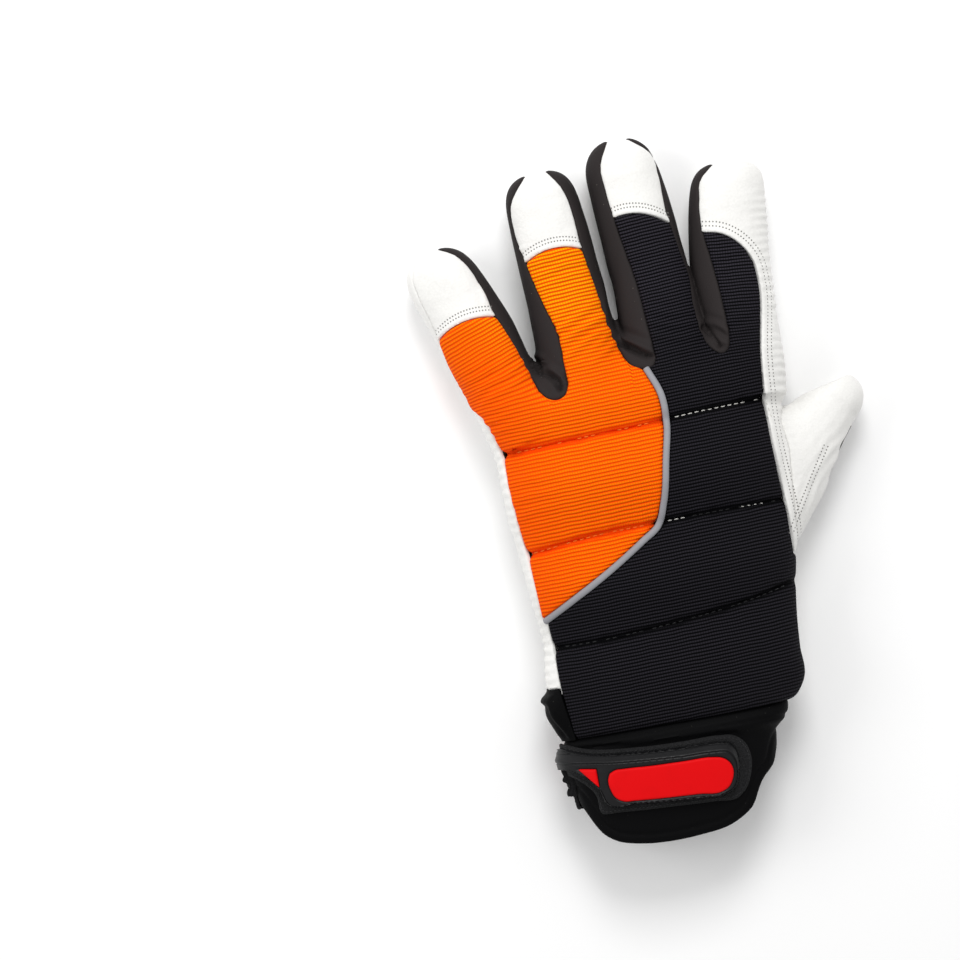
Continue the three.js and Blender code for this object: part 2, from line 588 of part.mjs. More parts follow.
pieces.back_tab = tab(BACK_TAB, BACK + SLOT, SKY, [BACK_LOZENGE, BACK_WEDGE]);
pieces.back_lozenge = inlay(BACK_LOZENGE, BACK, SKY);
pieces.back_wedge = inlay(BACK_WEDGE, BACK, SKY);
pieces.palm_tab = tab(PALM_TAB, BELOW, BACK - TURN, [PALM_BADGE, PALM_WEDGE]);
pieces.palm_badge = inlay(PALM_BADGE, BELOW, BACK - TURN);
pieces.palm_wedge = inlay(PALM_WEDGE, BELOW, BACK - TURN);

const LOOKS = {
  white: { color: 0xe9e9e7, roughness: 0.62, metalness: 0 },
  black: { color: 0x16161a, roughness: 0.9, metalness: 0 },
  orange: { color: 0xff6a0a, roughness: 0.85, metalness: 0 },
  neoprene: { color: 0x101012, roughness: 0.7, metalness: 0 },
  grey: { color: 0x8d9094, roughness: 0.5, metalness: 0 },
  rubber: { color: 0x1c1c1e, roughness: 0.45, metalness: 0 },
  red: { color: 0xd01015, roughness: 0.45, metalness: 0 },
  cream: { color: 0xf0cfa8, roughness: 0.55, metalness: 0 },
};

const LOOK_OF = {
  back_orange: 'orange', back_black: 'black', piping: 'grey', palm_leather: 'white', palm_patch: 'white',
  thumb_leather: 'white', thumb_side: 'neoprene', cap_little: 'white', cap_ring: 'white',
  cap_middle: 'white', index_overlay: 'white', side_little_ring: 'neoprene', side_ring_middle: 'neoprene',
  side_middle_index: 'neoprene', side_gusset: 'neoprene', cuff: 'neoprene', wrist_strap: 'neoprene',
  back_tab: 'rubber', back_lozenge: 'red', back_wedge: 'red', palm_tab: 'rubber', palm_badge: 'cream',
  palm_wedge: 'red',
};

// The largest body of a cut solid, without the crumbs that a cut leaves beside a seam.
function mainBody(solidBody) {
  const { vertProperties, triVerts } = solidBody.getMesh();
  const owner = Array.from({ length: vertProperties.length / 3 }, (_, index) => index);
  const root = (index) => {
    let at = index;
    while (owner[at] !== at) at = owner[at];
    return at;
  };
  for (let at = 0; at < triVerts.length; at += 3) {
    owner[root(triVerts[at + 1])] = root(triVerts[at]);
    owner[root(triVerts[at + 2])] = root(triVerts[at]);
  }
  const corner = (index) => new THREE.Vector3().fromArray(vertProperties, index * 3);
  const volumes = new Map();
  for (let at = 0; at < triVerts.length; at += 3) {
    const [a, b, c] = [corner(triVerts[at]), corner(triVerts[at + 1]), corner(triVerts[at + 2])];
    const key = root(triVerts[at]);
    volumes.set(key, (volumes.get(key) ?? 0) + a.dot(b.cross(c)) / 6);
  }
  const [largest] = [...volumes].sort((one, other) => other[1] - one[1])[0];
  const kept = [];
  for (let at = 0; at < triVerts.length; at += 3) {
    if (root(triVerts[at]) === largest) kept.push(triVerts[at], triVerts[at + 1], triVerts[at + 2]);
  }
  const geometry = new THREE.BufferGeometry();
  geometry.setAttribute('position', new THREE.BufferAttribute(Float32Array.from(vertProperties), 3));
  geometry.setIndex(kept);
  return mergeVertices(geometry.toNonIndexed(), SAME_POINT);
}

const glove = new THREE.Group();
for (const [name, body] of Object.entries(pieces)) {
  const mesh = new THREE.Mesh(mainBody(body), new THREE.MeshStandardMaterial(LOOKS[LOOK_OF[name]]));
  mesh.name = name;
  glove.add(mesh);
}

export default glove;
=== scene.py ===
"""Looks of a padded work glove for the left hand, lying on its palm.

Lengths are in millimetres in the glove's own frame until a mesh is made: the origin is on the
palm patch's resting face, +Y runs to the fingertips, +X to the thumb and +Z out of the back.
"""

import math

import bpy
import numpy as np
import openvdb
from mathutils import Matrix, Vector


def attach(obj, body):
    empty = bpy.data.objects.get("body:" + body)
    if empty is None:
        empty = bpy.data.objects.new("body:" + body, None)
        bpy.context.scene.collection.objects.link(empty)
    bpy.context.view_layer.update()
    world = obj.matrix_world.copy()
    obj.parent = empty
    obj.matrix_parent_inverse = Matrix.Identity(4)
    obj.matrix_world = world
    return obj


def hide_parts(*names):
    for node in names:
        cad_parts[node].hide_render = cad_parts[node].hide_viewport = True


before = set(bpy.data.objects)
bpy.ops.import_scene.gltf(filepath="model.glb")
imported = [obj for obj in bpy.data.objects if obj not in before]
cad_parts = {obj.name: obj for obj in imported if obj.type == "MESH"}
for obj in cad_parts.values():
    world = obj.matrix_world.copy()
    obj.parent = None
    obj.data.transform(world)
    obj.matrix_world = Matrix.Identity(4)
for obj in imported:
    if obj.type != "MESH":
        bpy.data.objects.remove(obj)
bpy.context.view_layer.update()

MM = 0.001
SEED = 11

# Driving sizes
PALM = 100.0           # width across the palm, the unit of every outline in plan
HEIGHT = 40.0          # height of the padded hand
FINGER = 84.0          # length of the middle finger
FINGER_WIDTH = 29.5    # width of the ring finger
FINGER_THICK = 24.0    # thickness of a finger near its tip
TIP = 15.0             # length of a rounded fingertip
THUMB_TIP = 11.0       # length of the thumb's rounded tip
THUMB = 71.0           # length of the thumb from inside the palm
THUMB_WIDTH = 31.0     # width of the thumb at its middle
LEATHER = 1.3          # walls of leather, cloth and padded knit
NEOPRENE = 1.8
PADDING = 3.2
CAP = 2.2              # wall of a fingertip cap, which covers the padding's edge
PATCH = 1.2            # second layer of leather on the palm
GAP = 0.3              # clearance between two pieces
FLOOR = PATCH + GAP    # lowest point of the palm leather
SEAM_HEIGHT = 7.0      # height where the finger leather meets the finger sides
BACK_LOW = 12.0        # height down to which the knit wraps round the edges of the hand
THUMB_HIGH = 0.68      # top of the thumb's region, as a share of the height
MESH = 0.8             # size of a facet of the fine surface

# How square the sections are, and how far one form runs into the next
HAND_POWER, FINGER_POWER, THUMB_TIP_POWER = 2.6, 2.3, 2.0
FINGER_BLEND, KNUCKLE_BLEND, THUMB_BLEND, SOLE_BLEND = 0.8, 3.0, 2.0, 1.5
FAR_OUT = 60.0         # value of a form far outside it


def table(names, rows):
    """Named columns of a short table."""
    return dict(zip(names.split(), np.array(rows, float).T))


# Sections up the hand: place, left and right edge as shares of the palm, lowest and highest point
# as shares of the height
HAND_ROWS = table("along left right bottom top", [
    (-1.12, -0.45, 0.22, 0.2, 0.78),
    (-0.9, -0.46, 0.265, 0.19, 0.82),
    (-0.76, -0.475, 0.29, 0.17, 0.84),
    (-0.665, -0.485, 0.315, 0.15, 0.84),
    (-0.61, -0.491, 0.362, 0.14, 0.85),
    (-0.52, -0.5, 0.428, 0.08, 0.92),
    (-0.4, -0.515, 0.434, 0.02, 0.95),
    (-0.22, -0.498, 0.455, -0.03, 0.89),
    (-0.05, -0.515, 0.48, -0.05, 1),
    (0.12, -0.53, 0.495, -0.05, 0.92),
    (0.31, -0.548, 0.515, -0.05, 1.02),
    (0.5, -0.555, 0.53, -0.05, 0.92),
    (0.62, -0.572, 0.55, -0.03, 0.9),
    (0.71, -0.56, 0.545, 0, 0.8),
    (0.79, -0.36, 0.53, 0.02, 0.64),
    (0.86, -0.25, 0.48, 0.08, 0.46),
    (0.9, -0.15, 0.4, 0.14, 0.36),
])

# Sections along a finger: place, width and thickness as shares of its own
FINGER_ROWS = table("along width thick", [
    (-0.25, 0.96, 1.38),
    (0, 1, 1.36),
    (0.18, 1.01, 1.24),
    (0.42, 1.01, 1.1),
    (0.7, 0.98, 1.02),
    (0.86, 0.94, 0.98),
])

# Each finger: where it starts, how it leans, its length, its width and how much wider its root is,
# how far it bows to the side and how square its tip is
FINGERS = {
    name: dict(zip(("base", "lean", "length", "width", "root", "bow", "square"), row))
    for name, row in {
        "little": ((-0.461, 0.68), -20.1, 0.755, 0.97, -0.08, 0.05, 2.5),
        "ring": ((-0.168, 0.7), -4.0, 0.961, 0.99, 0.12, 0.01, 2.7),
        "middle": ((0.153, 0.72), -4.6, 1.025, 0.98, 0.15, 0.03, 2.3),
        "index": ((0.433, 0.72), 5.0, 0.837, 1.01, -0.1, -0.08, 3.2),
    }.items()
}

# The thumb: where it starts inside the palm, how it leans and its sections
THUMB_BASE = (0.28, 0.085)
THUMB_LEAN = 50.0
THUMB_ROWS = table("along width thick", [
    (0, 1.45, 1.2),
    (0.22, 1.38, 1.18),
    (0.4, 1.2, 1.1),
    (0.55, 0.98, 1.02),
    (0.66, 0.82, 0.95),
    (0.845, 0.62, 0.86),
])

# How far each finger's seams run from its middle line, as shares of half its width
SEAM_ROWS = {
    "little": table("along left right", [
        (0.06, -1.08, 0.82), (0.3, -1.08, 0.74), (0.5, -0.96, 0.67), (0.66, -0.86, 0.74),
        (0.82, -0.78, 0.74), (0.9, -0.68, 0.64), (1, -0.36, 0.3),
    ]),
    "ring": table("along left right", [
        (0.1, -0.46, 0.91), (0.24, -0.45, 0.81), (0.4, -0.66, 0.77), (0.61, -0.83, 0.67),
        (0.76, -0.91, 0.67), (0.89, -0.78, 0.57), (1, -0.23, 0.27),
    ]),
    "middle": table("along left right", [
        (0.1, -0.38, 0.78), (0.22, -0.41, 0.81), (0.34, -0.43, 0.93), (0.49, -0.51, 0.86),
        (0.63, -0.57, 0.8), (0.79, -0.59, 0.89), (0.9, -0.52, 0.86), (1, -0.13, 0.29),
    ]),
    "index": table("along left right", [
        (0.1, -0.42, 0.59), (0.34, -0.44, 0.56), (0.5, -0.55, 0.52), (0.63, -0.69, -0.05),
        (0.8, -0.75, -0.05), (0.92, -0.69, -0.05), (1, -0.35, -0.05),
    ]),
}

# Where each tip cap starts on the finger's left and right seams, and how far its line arches
CAP_LINE = {"little": (0.52, 0.47), "ring": (0.6, 0.6), "middle": (0.66, 0.58), "index": (0.63, 0.63)}
CAP_ARCH = 2.6
PAST_TIP = 1.3         # share of a finger's length where its seams end, past its tip

# Seams in plan, as shares of the palm's width: webs, piping, edges of the panels and hem
WEB_LITTLE_RING = [(-0.353, 0.696), (-0.324, 0.662), (-0.29, 0.652), (-0.262, 0.664), (-0.243, 0.703)]
WEB_RING_SIDE = [(-0.02, 0.762), (-0.003, 0.735), (0.029, 0.715)]
WEB_MIDDLE_SIDE = [(0.081, 0.716), (0.09, 0.74)]
WEB_MIDDLE_INDEX = [(0.289, 0.767), (0.31, 0.733), (0.335, 0.716), (0.357, 0.724), (0.369, 0.753)]
PIPING_LINE = [
    (0.05, 0.708), (0.086, 0.6), (0.0885, 0.512), (0.059, 0.363), (0.0235, 0.208), (-0.005, 0.136),
    (-0.078, 0.083), (-0.162, 0.029), (-0.25, -0.023), (-0.349, -0.077), (-0.475, -0.146),
]
ULNAR_SEAM = [(-0.485, -0.14), (-0.5, 0.08), (-0.525, 0.34), (-0.535, 0.5), (-0.562, 0.6), (-0.59, 0.65)]
STRIP_EDGE = [(0.517, 1.03), (0.523, 0.96), (0.475, 0.67), (0.463, 0.4), (0.479, 0.07), (0.479, -0.054)]
STRIP_TOP = [(0.411, 1.156), (0.48, 1.1)]
HAND_EDGE = [(0.5, -0.054), (0.508, 0.12), (0.523, 0.31), (0.54, 0.49), (0.62, 0.52)]
THUMB_TOP = 0.75
CUFF_SEAM = -0.598
HEM = [
    (0.8, -0.72), (0.3, -0.746), (0.27, -0.813), (0.22, -0.855), (0.193, -0.895), (0.175, -0.93),
    (0.159, -0.952), (0.131, -0.972), (0.072, -1), (-0.05, -1.018), (-0.17, -1.022), (-0.276, -1.012),
    (-0.356, -0.991), (-0.399, -0.962), (-0.437, -0.905), (-0.463, -0.852), (-0.483, -0.812), (-0.8, -0.78),
]
THUMB_SEAM = [
    (0.383, -0.37), (0.325, -0.222), (0.281, -0.091), (0.275, 0.046),
    (0.306, 0.181), (0.36, 0.3), (0.42, 0.36), (0.5, 0.42), (0.54, 0.49), (0.62, 0.52),
]
THUMB_SIDE_LINE = [(0.52, 0.07), (0.6, 0.19), (0.68, 0.3), (0.74, 0.375)]
GUSSET = [(-0.8, -0.4), (-0.47, -0.4), (-0.44, CUFF_SEAM), (-0.8, CUFF_SEAM)]
THUMB_LOW, THUMB_SEAM_LOW = -0.054, -0.37
FAR = 1.6              # a place well outside the glove

# Outlines of the strap and the moulded tabs, with the panel inside each tab's rim
BACK_BAND = [
    (-0.56, -0.6), (-0.485, -0.612), (-0.434, -0.629), (-0.231, -0.657), (-0.055, -0.665), (0.082, -0.667),
    (0.134, -0.676), (0.17, -0.707), (0.185, -0.757), (0.172, -0.832), (0.153, -0.87), (0.111, -0.905),
    (0.022, -0.903), (-0.095, -0.897), (-0.33, -0.884), (-0.395, -0.879), (-0.406, -0.807),
    (-0.43, -0.773), (-0.466, -0.743), (-0.56, -0.7),
]
BACK_TAB = [
    (-0.56, -0.62), (-0.487, -0.63), (-0.437, -0.645), (-0.234, -0.672), (-0.058, -0.683), (0.078, -0.688),
    (0.113, -0.695), (0.137, -0.725), (0.141, -0.761), (0.13, -0.824), (0.113, -0.863), (0.08, -0.882),
    (-0.033, -0.882), (-0.151, -0.875), (-0.268, -0.864), (-0.367, -0.855), (-0.382, -0.838),
    (-0.388, -0.804), (-0.411, -0.765), (-0.457, -0.724), (-0.56, -0.672),
]
BACK_PANEL = [
    (-0.56, -0.672), (-0.474, -0.687), (-0.416, -0.692), (-0.34, -0.703), (-0.182, -0.717), (-0.065, -0.725),
    (0.053, -0.729), (0.094, -0.736), (0.114, -0.762), (0.117, -0.799), (0.11, -0.833), (0.093, -0.859),
    (0.057, -0.873), (-0.031, -0.872), (-0.149, -0.864), (-0.266, -0.853), (-0.356, -0.845),
    (-0.369, -0.822), (-0.378, -0.79), (-0.402, -0.757), (-0.446, -0.718), (-0.478, -0.7), (-0.56, -0.68),
]
BACK_LOZENGE = [
    (-0.34, -0.733), (-0.32, -0.724), (-0.291, -0.724), (-0.185, -0.73), (-0.067, -0.734), (0.04, -0.738),
    (0.074, -0.746), (0.097, -0.765), (0.107, -0.796), (0.098, -0.831), (0.078, -0.857), (0.052, -0.868),
    (-0.03, -0.862), (-0.148, -0.855), (-0.265, -0.846), (-0.306, -0.842), (-0.332, -0.826),
    (-0.347, -0.794), (-0.349, -0.752),
]
BACK_WEDGE = [(-0.451, -0.7), (-0.386, -0.71), (-0.386, -0.778), (-0.409, -0.751)]
PALM_BAND = [
    (-0.56, -0.62), (-0.461, -0.62), (-0.229, -0.635), (-0.21, -0.612), (-0.095, -0.58), (-0.055, -0.585),
    (0.078, -0.678), (0.09, -0.71), (0.08, -0.88), (0.058, -0.912), (-0.104, -0.966), (-0.14, -0.956),
    (-0.224, -0.905), (-0.302, -0.897), (-0.425, -0.875), (-0.56, -0.84),
]
PALM_TAB = [
    (-0.56, -0.64), (-0.461, -0.634), (-0.229, -0.65), (-0.21, -0.63), (-0.095, -0.592), (-0.061, -0.6),
    (0.066, -0.688), (0.076, -0.71), (0.067, -0.877), (0.05, -0.904), (-0.104, -0.954), (-0.133, -0.944),
    (-0.224, -0.893), (-0.302, -0.885), (-0.423, -0.862), (-0.56, -0.82),
]
PALM_PANEL = [
    (-0.56, -0.665), (-0.467, -0.66), (-0.27, -0.674), (-0.24, -0.65), (-0.097, -0.606), (-0.072, -0.607),
    (0.053, -0.685), (0.066, -0.707), (0.055, -0.868), (0.041, -0.894), (-0.099, -0.94), (-0.126, -0.936),
    (-0.25, -0.853), (-0.28, -0.836), (-0.394, -0.822), (-0.424, -0.774), (-0.472, -0.701), (-0.56, -0.68),
]
PALM_BADGE = [
    (-0.247, -0.673), (-0.238, -0.653), (-0.097, -0.606), (-0.072, -0.607), (0.053, -0.685), (0.066, -0.707),
    (0.055, -0.868), (0.041, -0.894), (-0.099, -0.94), (-0.126, -0.936), (-0.249, -0.853), (-0.261, -0.832),
]
PALM_WEDGE = [(-0.46, -0.668), (-0.402, -0.673), (-0.406, -0.753), (-0.46, -0.69)]
STRAP_END = [
    (-0.44, -0.68), (-0.522, -0.69), (-0.508, -0.72), (-0.513, -0.745),
    (-0.494, -0.761), (-0.506, -0.795), (-0.48, -0.812), (-0.44, -0.79),
]


def smooth(x, knots, values):
    """Cubic through a table's rows, flat past its ends."""
    slopes = np.gradient(values, knots)
    x = np.clip(x, knots[0], knots[-1])
    i = np.clip(np.searchsorted(knots, x) - 1, 0, len(knots) - 2)
    span = knots[i + 1] - knots[i]
    t = (x - knots[i]) / span
    return (
        values[i] * (1 + 2 * t) * (1 - t) ** 2
        + slopes[i] * span * t * (1 - t) ** 2
        + values[i + 1] * t * t * (3 - 2 * t)
        + slopes[i + 1] * span * t * t * (t - 1)
    )


def rounded(u, w, half, rise, power):
    """Distance-like value of a rounded section: 1 on its outline."""
    return (np.abs(u / half) ** power + np.abs(w / rise) ** power) ** (1 / power)


def joined(one, other, blend):
    """Union of two forms with a rounded valley."""
    near = np.maximum(blend - np.abs(one - other), 0) / blend
    return np.minimum(one, other) - near * near * blend / 4


def hand_form(p):
    """The padded hand and cuff, carried through its table's sections."""
    rows = HAND_ROWS
    along = p[:, 1] / PALM
    left, right, bottom, top = (
        smooth(along, rows["along"], rows[k]) for k in ("left", "right", "bottom", "top"))
    half = (right - left) / 2 * PALM
    rise = (top - bottom) / 2 * HEIGHT
    u = p[:, 0] - (left + right) / 2 * PALM
    w = p[:, 2] - (top + bottom) / 2 * HEIGHT
    form = (rounded(u, w, half, rise, HAND_POWER) - 1) * np.minimum(half, rise)
    return np.maximum(form, p[:, 1] - rows["along"][-1] * PALM)


def finger_frame(name, p):
    """Along and across a finger, in millimetres from its base."""
    spec = FINGERS[name]
    lean = math.radians(spec["lean"])
    x = p[:, 0] - spec["base"][0] * PALM
    y = p[:, 1] - spec["base"][1] * PALM
    along = x * math.sin(lean) + y * math.cos(lean)
    across = x * math.cos(lean) - y * math.sin(lean)
    share = along / (spec["length"] * FINGER)
    curve = spec["bow"] * FINGER_WIDTH * np.sin(np.pi * np.clip(share, 0, 1))
    return along, across - curve


def half_width(name, share):
    """Half a finger's width at a share of its length, with its root."""
    spec = FINGERS[name]
    spread = np.clip(1 - share / 0.4, 0, 1)
    return FINGER_WIDTH * spec["width"] / 2 * (1 + spec["root"] * spread)


def limb(along, across, height, reach, half, rows, tip, square):
    """A finger or thumb: a rounded section along an axis, with a rounded tip."""
    share = along / reach
    half = half * smooth(share, rows["along"], rows["width"])
    thick = smooth(share, rows["along"], rows["thick"]) * FINGER_THICK
    w = height - (FLOOR - 1 + thick / 2)
    section = rounded(across, w, half, thick / 2, FINGER_POWER)
    past = np.maximum(along - (reach - tip), 0) / tip
    whole = (section ** square + past ** square) ** (1 / square)
    form = (whole - 1) * np.minimum(half, thick / 2)
    return np.maximum(form, rows["along"][0] * reach - along)


def finger_form(name, p):
    spec = FINGERS[name]
    along, across = finger_frame(name, p)
    reach = spec["length"] * FINGER
    half = half_width(name, along / reach)
    return limb(along, across, p[:, 2], reach, half, FINGER_ROWS, TIP, spec["square"])


def thumb_frame(p):
    """Along and across the thumb, in millimetres from its base."""
    lean = math.radians(THUMB_LEAN)
    x = p[:, 0] - THUMB_BASE[0] * PALM
    y = p[:, 1] - THUMB_BASE[1] * PALM
    return x * math.sin(lean) + y * math.cos(lean), x * math.cos(lean) - y * math.sin(lean)


def thumb_form(p):
    along, across = thumb_frame(p)
    return limb(along, across, p[:, 2], THUMB, THUMB_WIDTH / 2, THUMB_ROWS, THUMB_TIP, THUMB_TIP_POWER)


def glove_form(p):
    """Below zero inside the glove's outer form."""
    form = np.full(len(p), FAR_OUT)
    low = p[:, 1] < 95
    form[low] = hand_form(p[low])
    high = np.flatnonzero(p[:, 1] > 40)
    digits = np.full(len(high), FAR_OUT)
    for name in FINGERS:
        digits = joined(digits, finger_form(name, p[high]), FINGER_BLEND)
    form[high] = joined(form[high], digits, KNUCKLE_BLEND)
    side = np.flatnonzero((p[:, 0] > 10) & (p[:, 1] > -50) & (p[:, 1] < 75))
    form[side] = joined(form[side], thumb_form(p[side]), THUMB_BLEND)
    return -joined(-form, p[:, 2] - FLOOR, SOLE_BLEND)


def slope(p, form=glove_form, step=0.25):
    """Outward direction of the form at each point."""
    moves = np.eye(3) * step
    rise = np.stack([form(p + m) - form(p - m) for m in moves], 1) / (2 * step)
    size = np.linalg.norm(rise, axis=1, keepdims=True)
    return rise, np.maximum(size, 1e-6)


def settle(p, rounds=3):
    """Moves points onto the form along its slope."""
    for _ in range(rounds):
        rise, size = slope(p)
        p = p - np.clip(glove_form(p)[:, None] / size, -0.8, 0.8) * rise / size
    return p


def fine_surface():
    """Triangles of the whole outer form."""
    low = np.array([-84.0, -106.0, -2.0])
    high = np.array([92.0, 162.0, 46.0])
    axes = [np.arange(a, b, MESH) for a, b in zip(low, high)]
    field = np.empty([len(a) for a in axes], np.float32)
    across, up = np.meshgrid(axes[1], axes[2], indexing="ij")
    for i, x in enumerate(axes[0]):
        points = np.stack([np.full(across.size, x), across.ravel(), up.ravel()], 1)
        field[i] = glove_form(points).reshape(across.shape)
    field = np.clip(field, -3, 3)
    for axis in range(3):
        field[(slice(None),) * axis + (0,)] = 3
        field[(slice(None),) * axis + (-1,)] = 3
    grid = openvdb.FloatGrid(3.0)
    grid.copyFromArray(field)
    points, quads = grid.convertToQuads(0.0)
    points = settle(points.astype(float) * MESH + low)
    triangles = np.concatenate([quads[:, [0, 1, 2]], quads[:, [0, 2, 3]]]).astype(np.int64)
    rise, _ = slope(points[triangles[:200, 0]])
    facing = np.cross(
        points[triangles[:200, 1]] - points[triangles[:200, 0]],
        points[triangles[:200, 2]] - points[triangles[:200, 0]],
    )
    if np.sum(facing * rise) < 0:
        triangles = triangles[:, ::-1]
    return points, triangles


# Outlines in plan
def plan(rows):
    """Plan points in millimetres, from shares of the palm's width."""
    return np.array(rows, float) * PALM


def flow(points, step=2.5):
    """A smooth curve through a few points."""
    points = np.asarray(points, float)
    run = np.concatenate([[0], np.cumsum(np.linalg.norm(np.diff(points, axis=0), axis=1))])
    at = np.linspace(0, run[-1], max(3, int(run[-1] / step) + 1))
    return np.stack([smooth(at, run, points[:, k]) for k in (0, 1)], 1)


def finger_point(name, share, across):
    """Plan point of a finger, from a share of its length and of half its width."""
    spec = FINGERS[name]
    lean = math.radians(spec["lean"])
    forward = np.asarray(share) * spec["length"] * FINGER
    curve = spec["bow"] * FINGER_WIDTH * np.sin(np.pi * np.clip(share, 0, 1))
    aside = np.asarray(across) * half_width(name, share) + curve
    x = spec["base"][0] * PALM + forward * math.sin(lean) + aside * math.cos(lean)
    y = spec["base"][1] * PALM + forward * math.cos(lean) - aside * math.sin(lean)
    return np.stack([x, y], -1)


def seam(name, side, start=None, end=PAST_TIP):
    """A finger's left or right seam as a plan line."""
    rows = SEAM_ROWS[name]
    start = rows["along"][0] if start is None else start
    share = np.append(np.linspace(start, min(end, 1), max(3, int((min(end, 1) - start) * 34))), end)
    return finger_point(name, share, smooth(share, rows["along"], rows[side]))


def cap_line(name):
    """The arched edge of a fingertip cap."""
    ends = CAP_LINE[name]
    rows = SEAM_ROWS[name]
    left, right = (finger_point(name, e, smooth(np.array(e), rows["along"], rows[s]))
                   for e, s in zip(ends, ("left", "right")))
    t = np.linspace(0, 1, 9)[:, None]
    lean = math.radians(FINGERS[name]["lean"])
    up = np.array([math.sin(lean), math.cos(lean)])
    return left + (right - left) * t + up * CAP_ARCH * 4 * t * (1 - t)


PIPING_WIDTH = 2.2


def piping_edge(side):
    """One edge of the piping: 1 on its right side, -1 on its left."""
    line = flow(plan(PIPING_LINE))
    way = np.gradient(line, axis=0)
    way /= np.linalg.norm(way, axis=1, keepdims=True)
    return line + np.stack([way[:, 1], -way[:, 0]], 1) * side * PIPING_WIDTH / 2


def side_outline(lower, upper, web):
    """Region of the side walls between two fingers, with the web."""
    return [flow(plan(web), 1)[::-1], seam(lower, "right"), seam(upper, "left")[::-1]]


def knit_tongue(name):
    """The knit's edge over a finger: up its left seam, along the cap and down its right seam."""
    left, right = CAP_LINE[name]
    return [seam(name, "left", end=left), cap_line(name), seam(name, "right", end=right)[::-1]]


def cap_outline(name):
    """Region of a fingertip cap, which runs past the tip."""
    left, right = CAP_LINE[name]
    return [cap_line(name), seam(name, "right", right), seam(name, "left", left)[::-1]]


STRIP_LINE = flow(np.concatenate([cap_line("index")[:1], plan([*STRIP_TOP, *STRIP_EDGE])]))
OUTLINES = {
    "back_orange": [
        flow(plan(ULNAR_SEAM)), *knit_tongue("little"), flow(plan(WEB_LITTLE_RING), 1),
        *knit_tongue("ring"), flow(plan(WEB_RING_SIDE), 1), piping_edge(1),
    ],
    "back_black": [
        piping_edge(-1)[::-1], plan(WEB_MIDDLE_SIDE), *knit_tongue("middle"), flow(plan(WEB_MIDDLE_INDEX), 1),
        seam("index", "left", end=CAP_LINE["index"][0]), STRIP_LINE,
        plan([(FAR, THUMB_LOW), (FAR, CUFF_SEAM), (-0.44, CUFF_SEAM), (-0.465, -0.4), (-0.468, -0.2)]),
    ],
    "piping": [piping_edge(-1)[::-1], piping_edge(1)],
    "cap_little": cap_outline("little"),
    "cap_ring": cap_outline("ring"),
    "cap_middle": cap_outline("middle"),
    "index_overlay": [
        seam("index", "left", CAP_LINE["index"][0]),
        plan([(FAR, FAR), (FAR, THUMB_TOP)]), flow(plan(HAND_EDGE))[::-1], STRIP_LINE[::-1],
    ],
    "side_little_ring": side_outline("little", "ring", WEB_LITTLE_RING),
    "side_ring_middle": side_outline("ring", "middle", [*WEB_RING_SIDE, PIPING_LINE[0], *WEB_MIDDLE_SIDE]),
    "side_middle_index": side_outline("middle", "index", WEB_MIDDLE_INDEX),
    "side_gusset": [plan(GUSSET)],
    "thumb": [flow(plan(HAND_EDGE)), plan([(FAR, THUMB_TOP), (FAR, THUMB_LOW)])],
    "thumb_base": [flow(plan(THUMB_SEAM)), plan([(FAR, THUMB_TOP), (FAR, THUMB_SEAM_LOW)])],
    "thumb_side": [
        flow(plan(THUMB_SIDE_LINE)), plan([(FAR, THUMB_SIDE_LINE[-1][1]), (FAR, THUMB_SIDE_LINE[0][1])]),
    ],
    "cuff": [plan([(-FAR, CUFF_SEAM), (FAR, CUFF_SEAM)]), flow(plan(HEM))],
}


def depth_inside(xy, outline):
    """Distance of plan points inside an outline, negative outside it."""
    ring = np.concatenate(outline).astype(np.float32)
    low, high = ring.min(0) - 3, ring.max(0) + 3
    near = np.flatnonzero(np.all((xy > low) & (xy < high), axis=1))
    value = np.full(len(xy), -3.0, np.float32)
    q = xy[near].astype(np.float32)
    best = np.full(len(near), 1e6, np.float32)
    inside = np.zeros(len(near), bool)
    for a, b in zip(ring, np.roll(ring, -1, 0)):
        way = b - a
        size = way @ way
        if size < 1e-9:
            continue
        d = q - a
        t = np.clip((d @ way) / size, 0, 1)
        off = d - t[:, None] * way
        best = np.minimum(best, np.einsum("ij,ij->i", off, off))
        crosses = (a[1] > q[:, 1]) != (b[1] > q[:, 1])
        if crosses.any():
            x = a[0] + (q[:, 1] - a[1]) / np.where(way[1] == 0, 1, way[1]) * way[0]
            inside ^= crosses & (q[:, 0] < x)
    value[near] = np.sqrt(best) * np.where(inside, 1, -1)
    return value


def region_depths(p):
    """How deep each point lies inside each piece's region."""
    xy = p[:, :2]
    depth = {name: depth_inside(xy, outline) for name, outline in OUTLINES.items()}
    above = p[:, 2] - SEAM_HEIGHT
    for name in OUTLINES:
        if name not in ("thumb", "thumb_base", "thumb_side", "cuff"):
            low = BACK_LOW if name.startswith("back") else SEAM_HEIGHT
            depth[name] = np.minimum(depth[name], p[:, 2] - low)
    thumb = np.minimum(depth.pop("thumb"), THUMB_HIGH * HEIGHT - p[:, 2])
    base = np.minimum(depth.pop("thumb_base"), -above)
    strip = np.minimum(depth["thumb_side"], SEAM_HEIGHT / 2 - np.abs(above - SEAM_HEIGHT / 2))
    both = np.maximum(thumb, base)
    depth["thumb_side"] = np.minimum(strip, both)
    depth["thumb_leather"] = np.minimum(both, -strip)
    cuff = depth["cuff"]
    above_cuff = p[:, 1] - CUFF_SEAM * PALM
    others = [depth[n] for n in depth if n not in ("cuff", "thumb_side", "thumb_leather")]
    taken = np.maximum.reduce([*others, both, -above_cuff])
    depth["palm_leather"] = -taken
    depth["cuff"] = cuff
    return depth


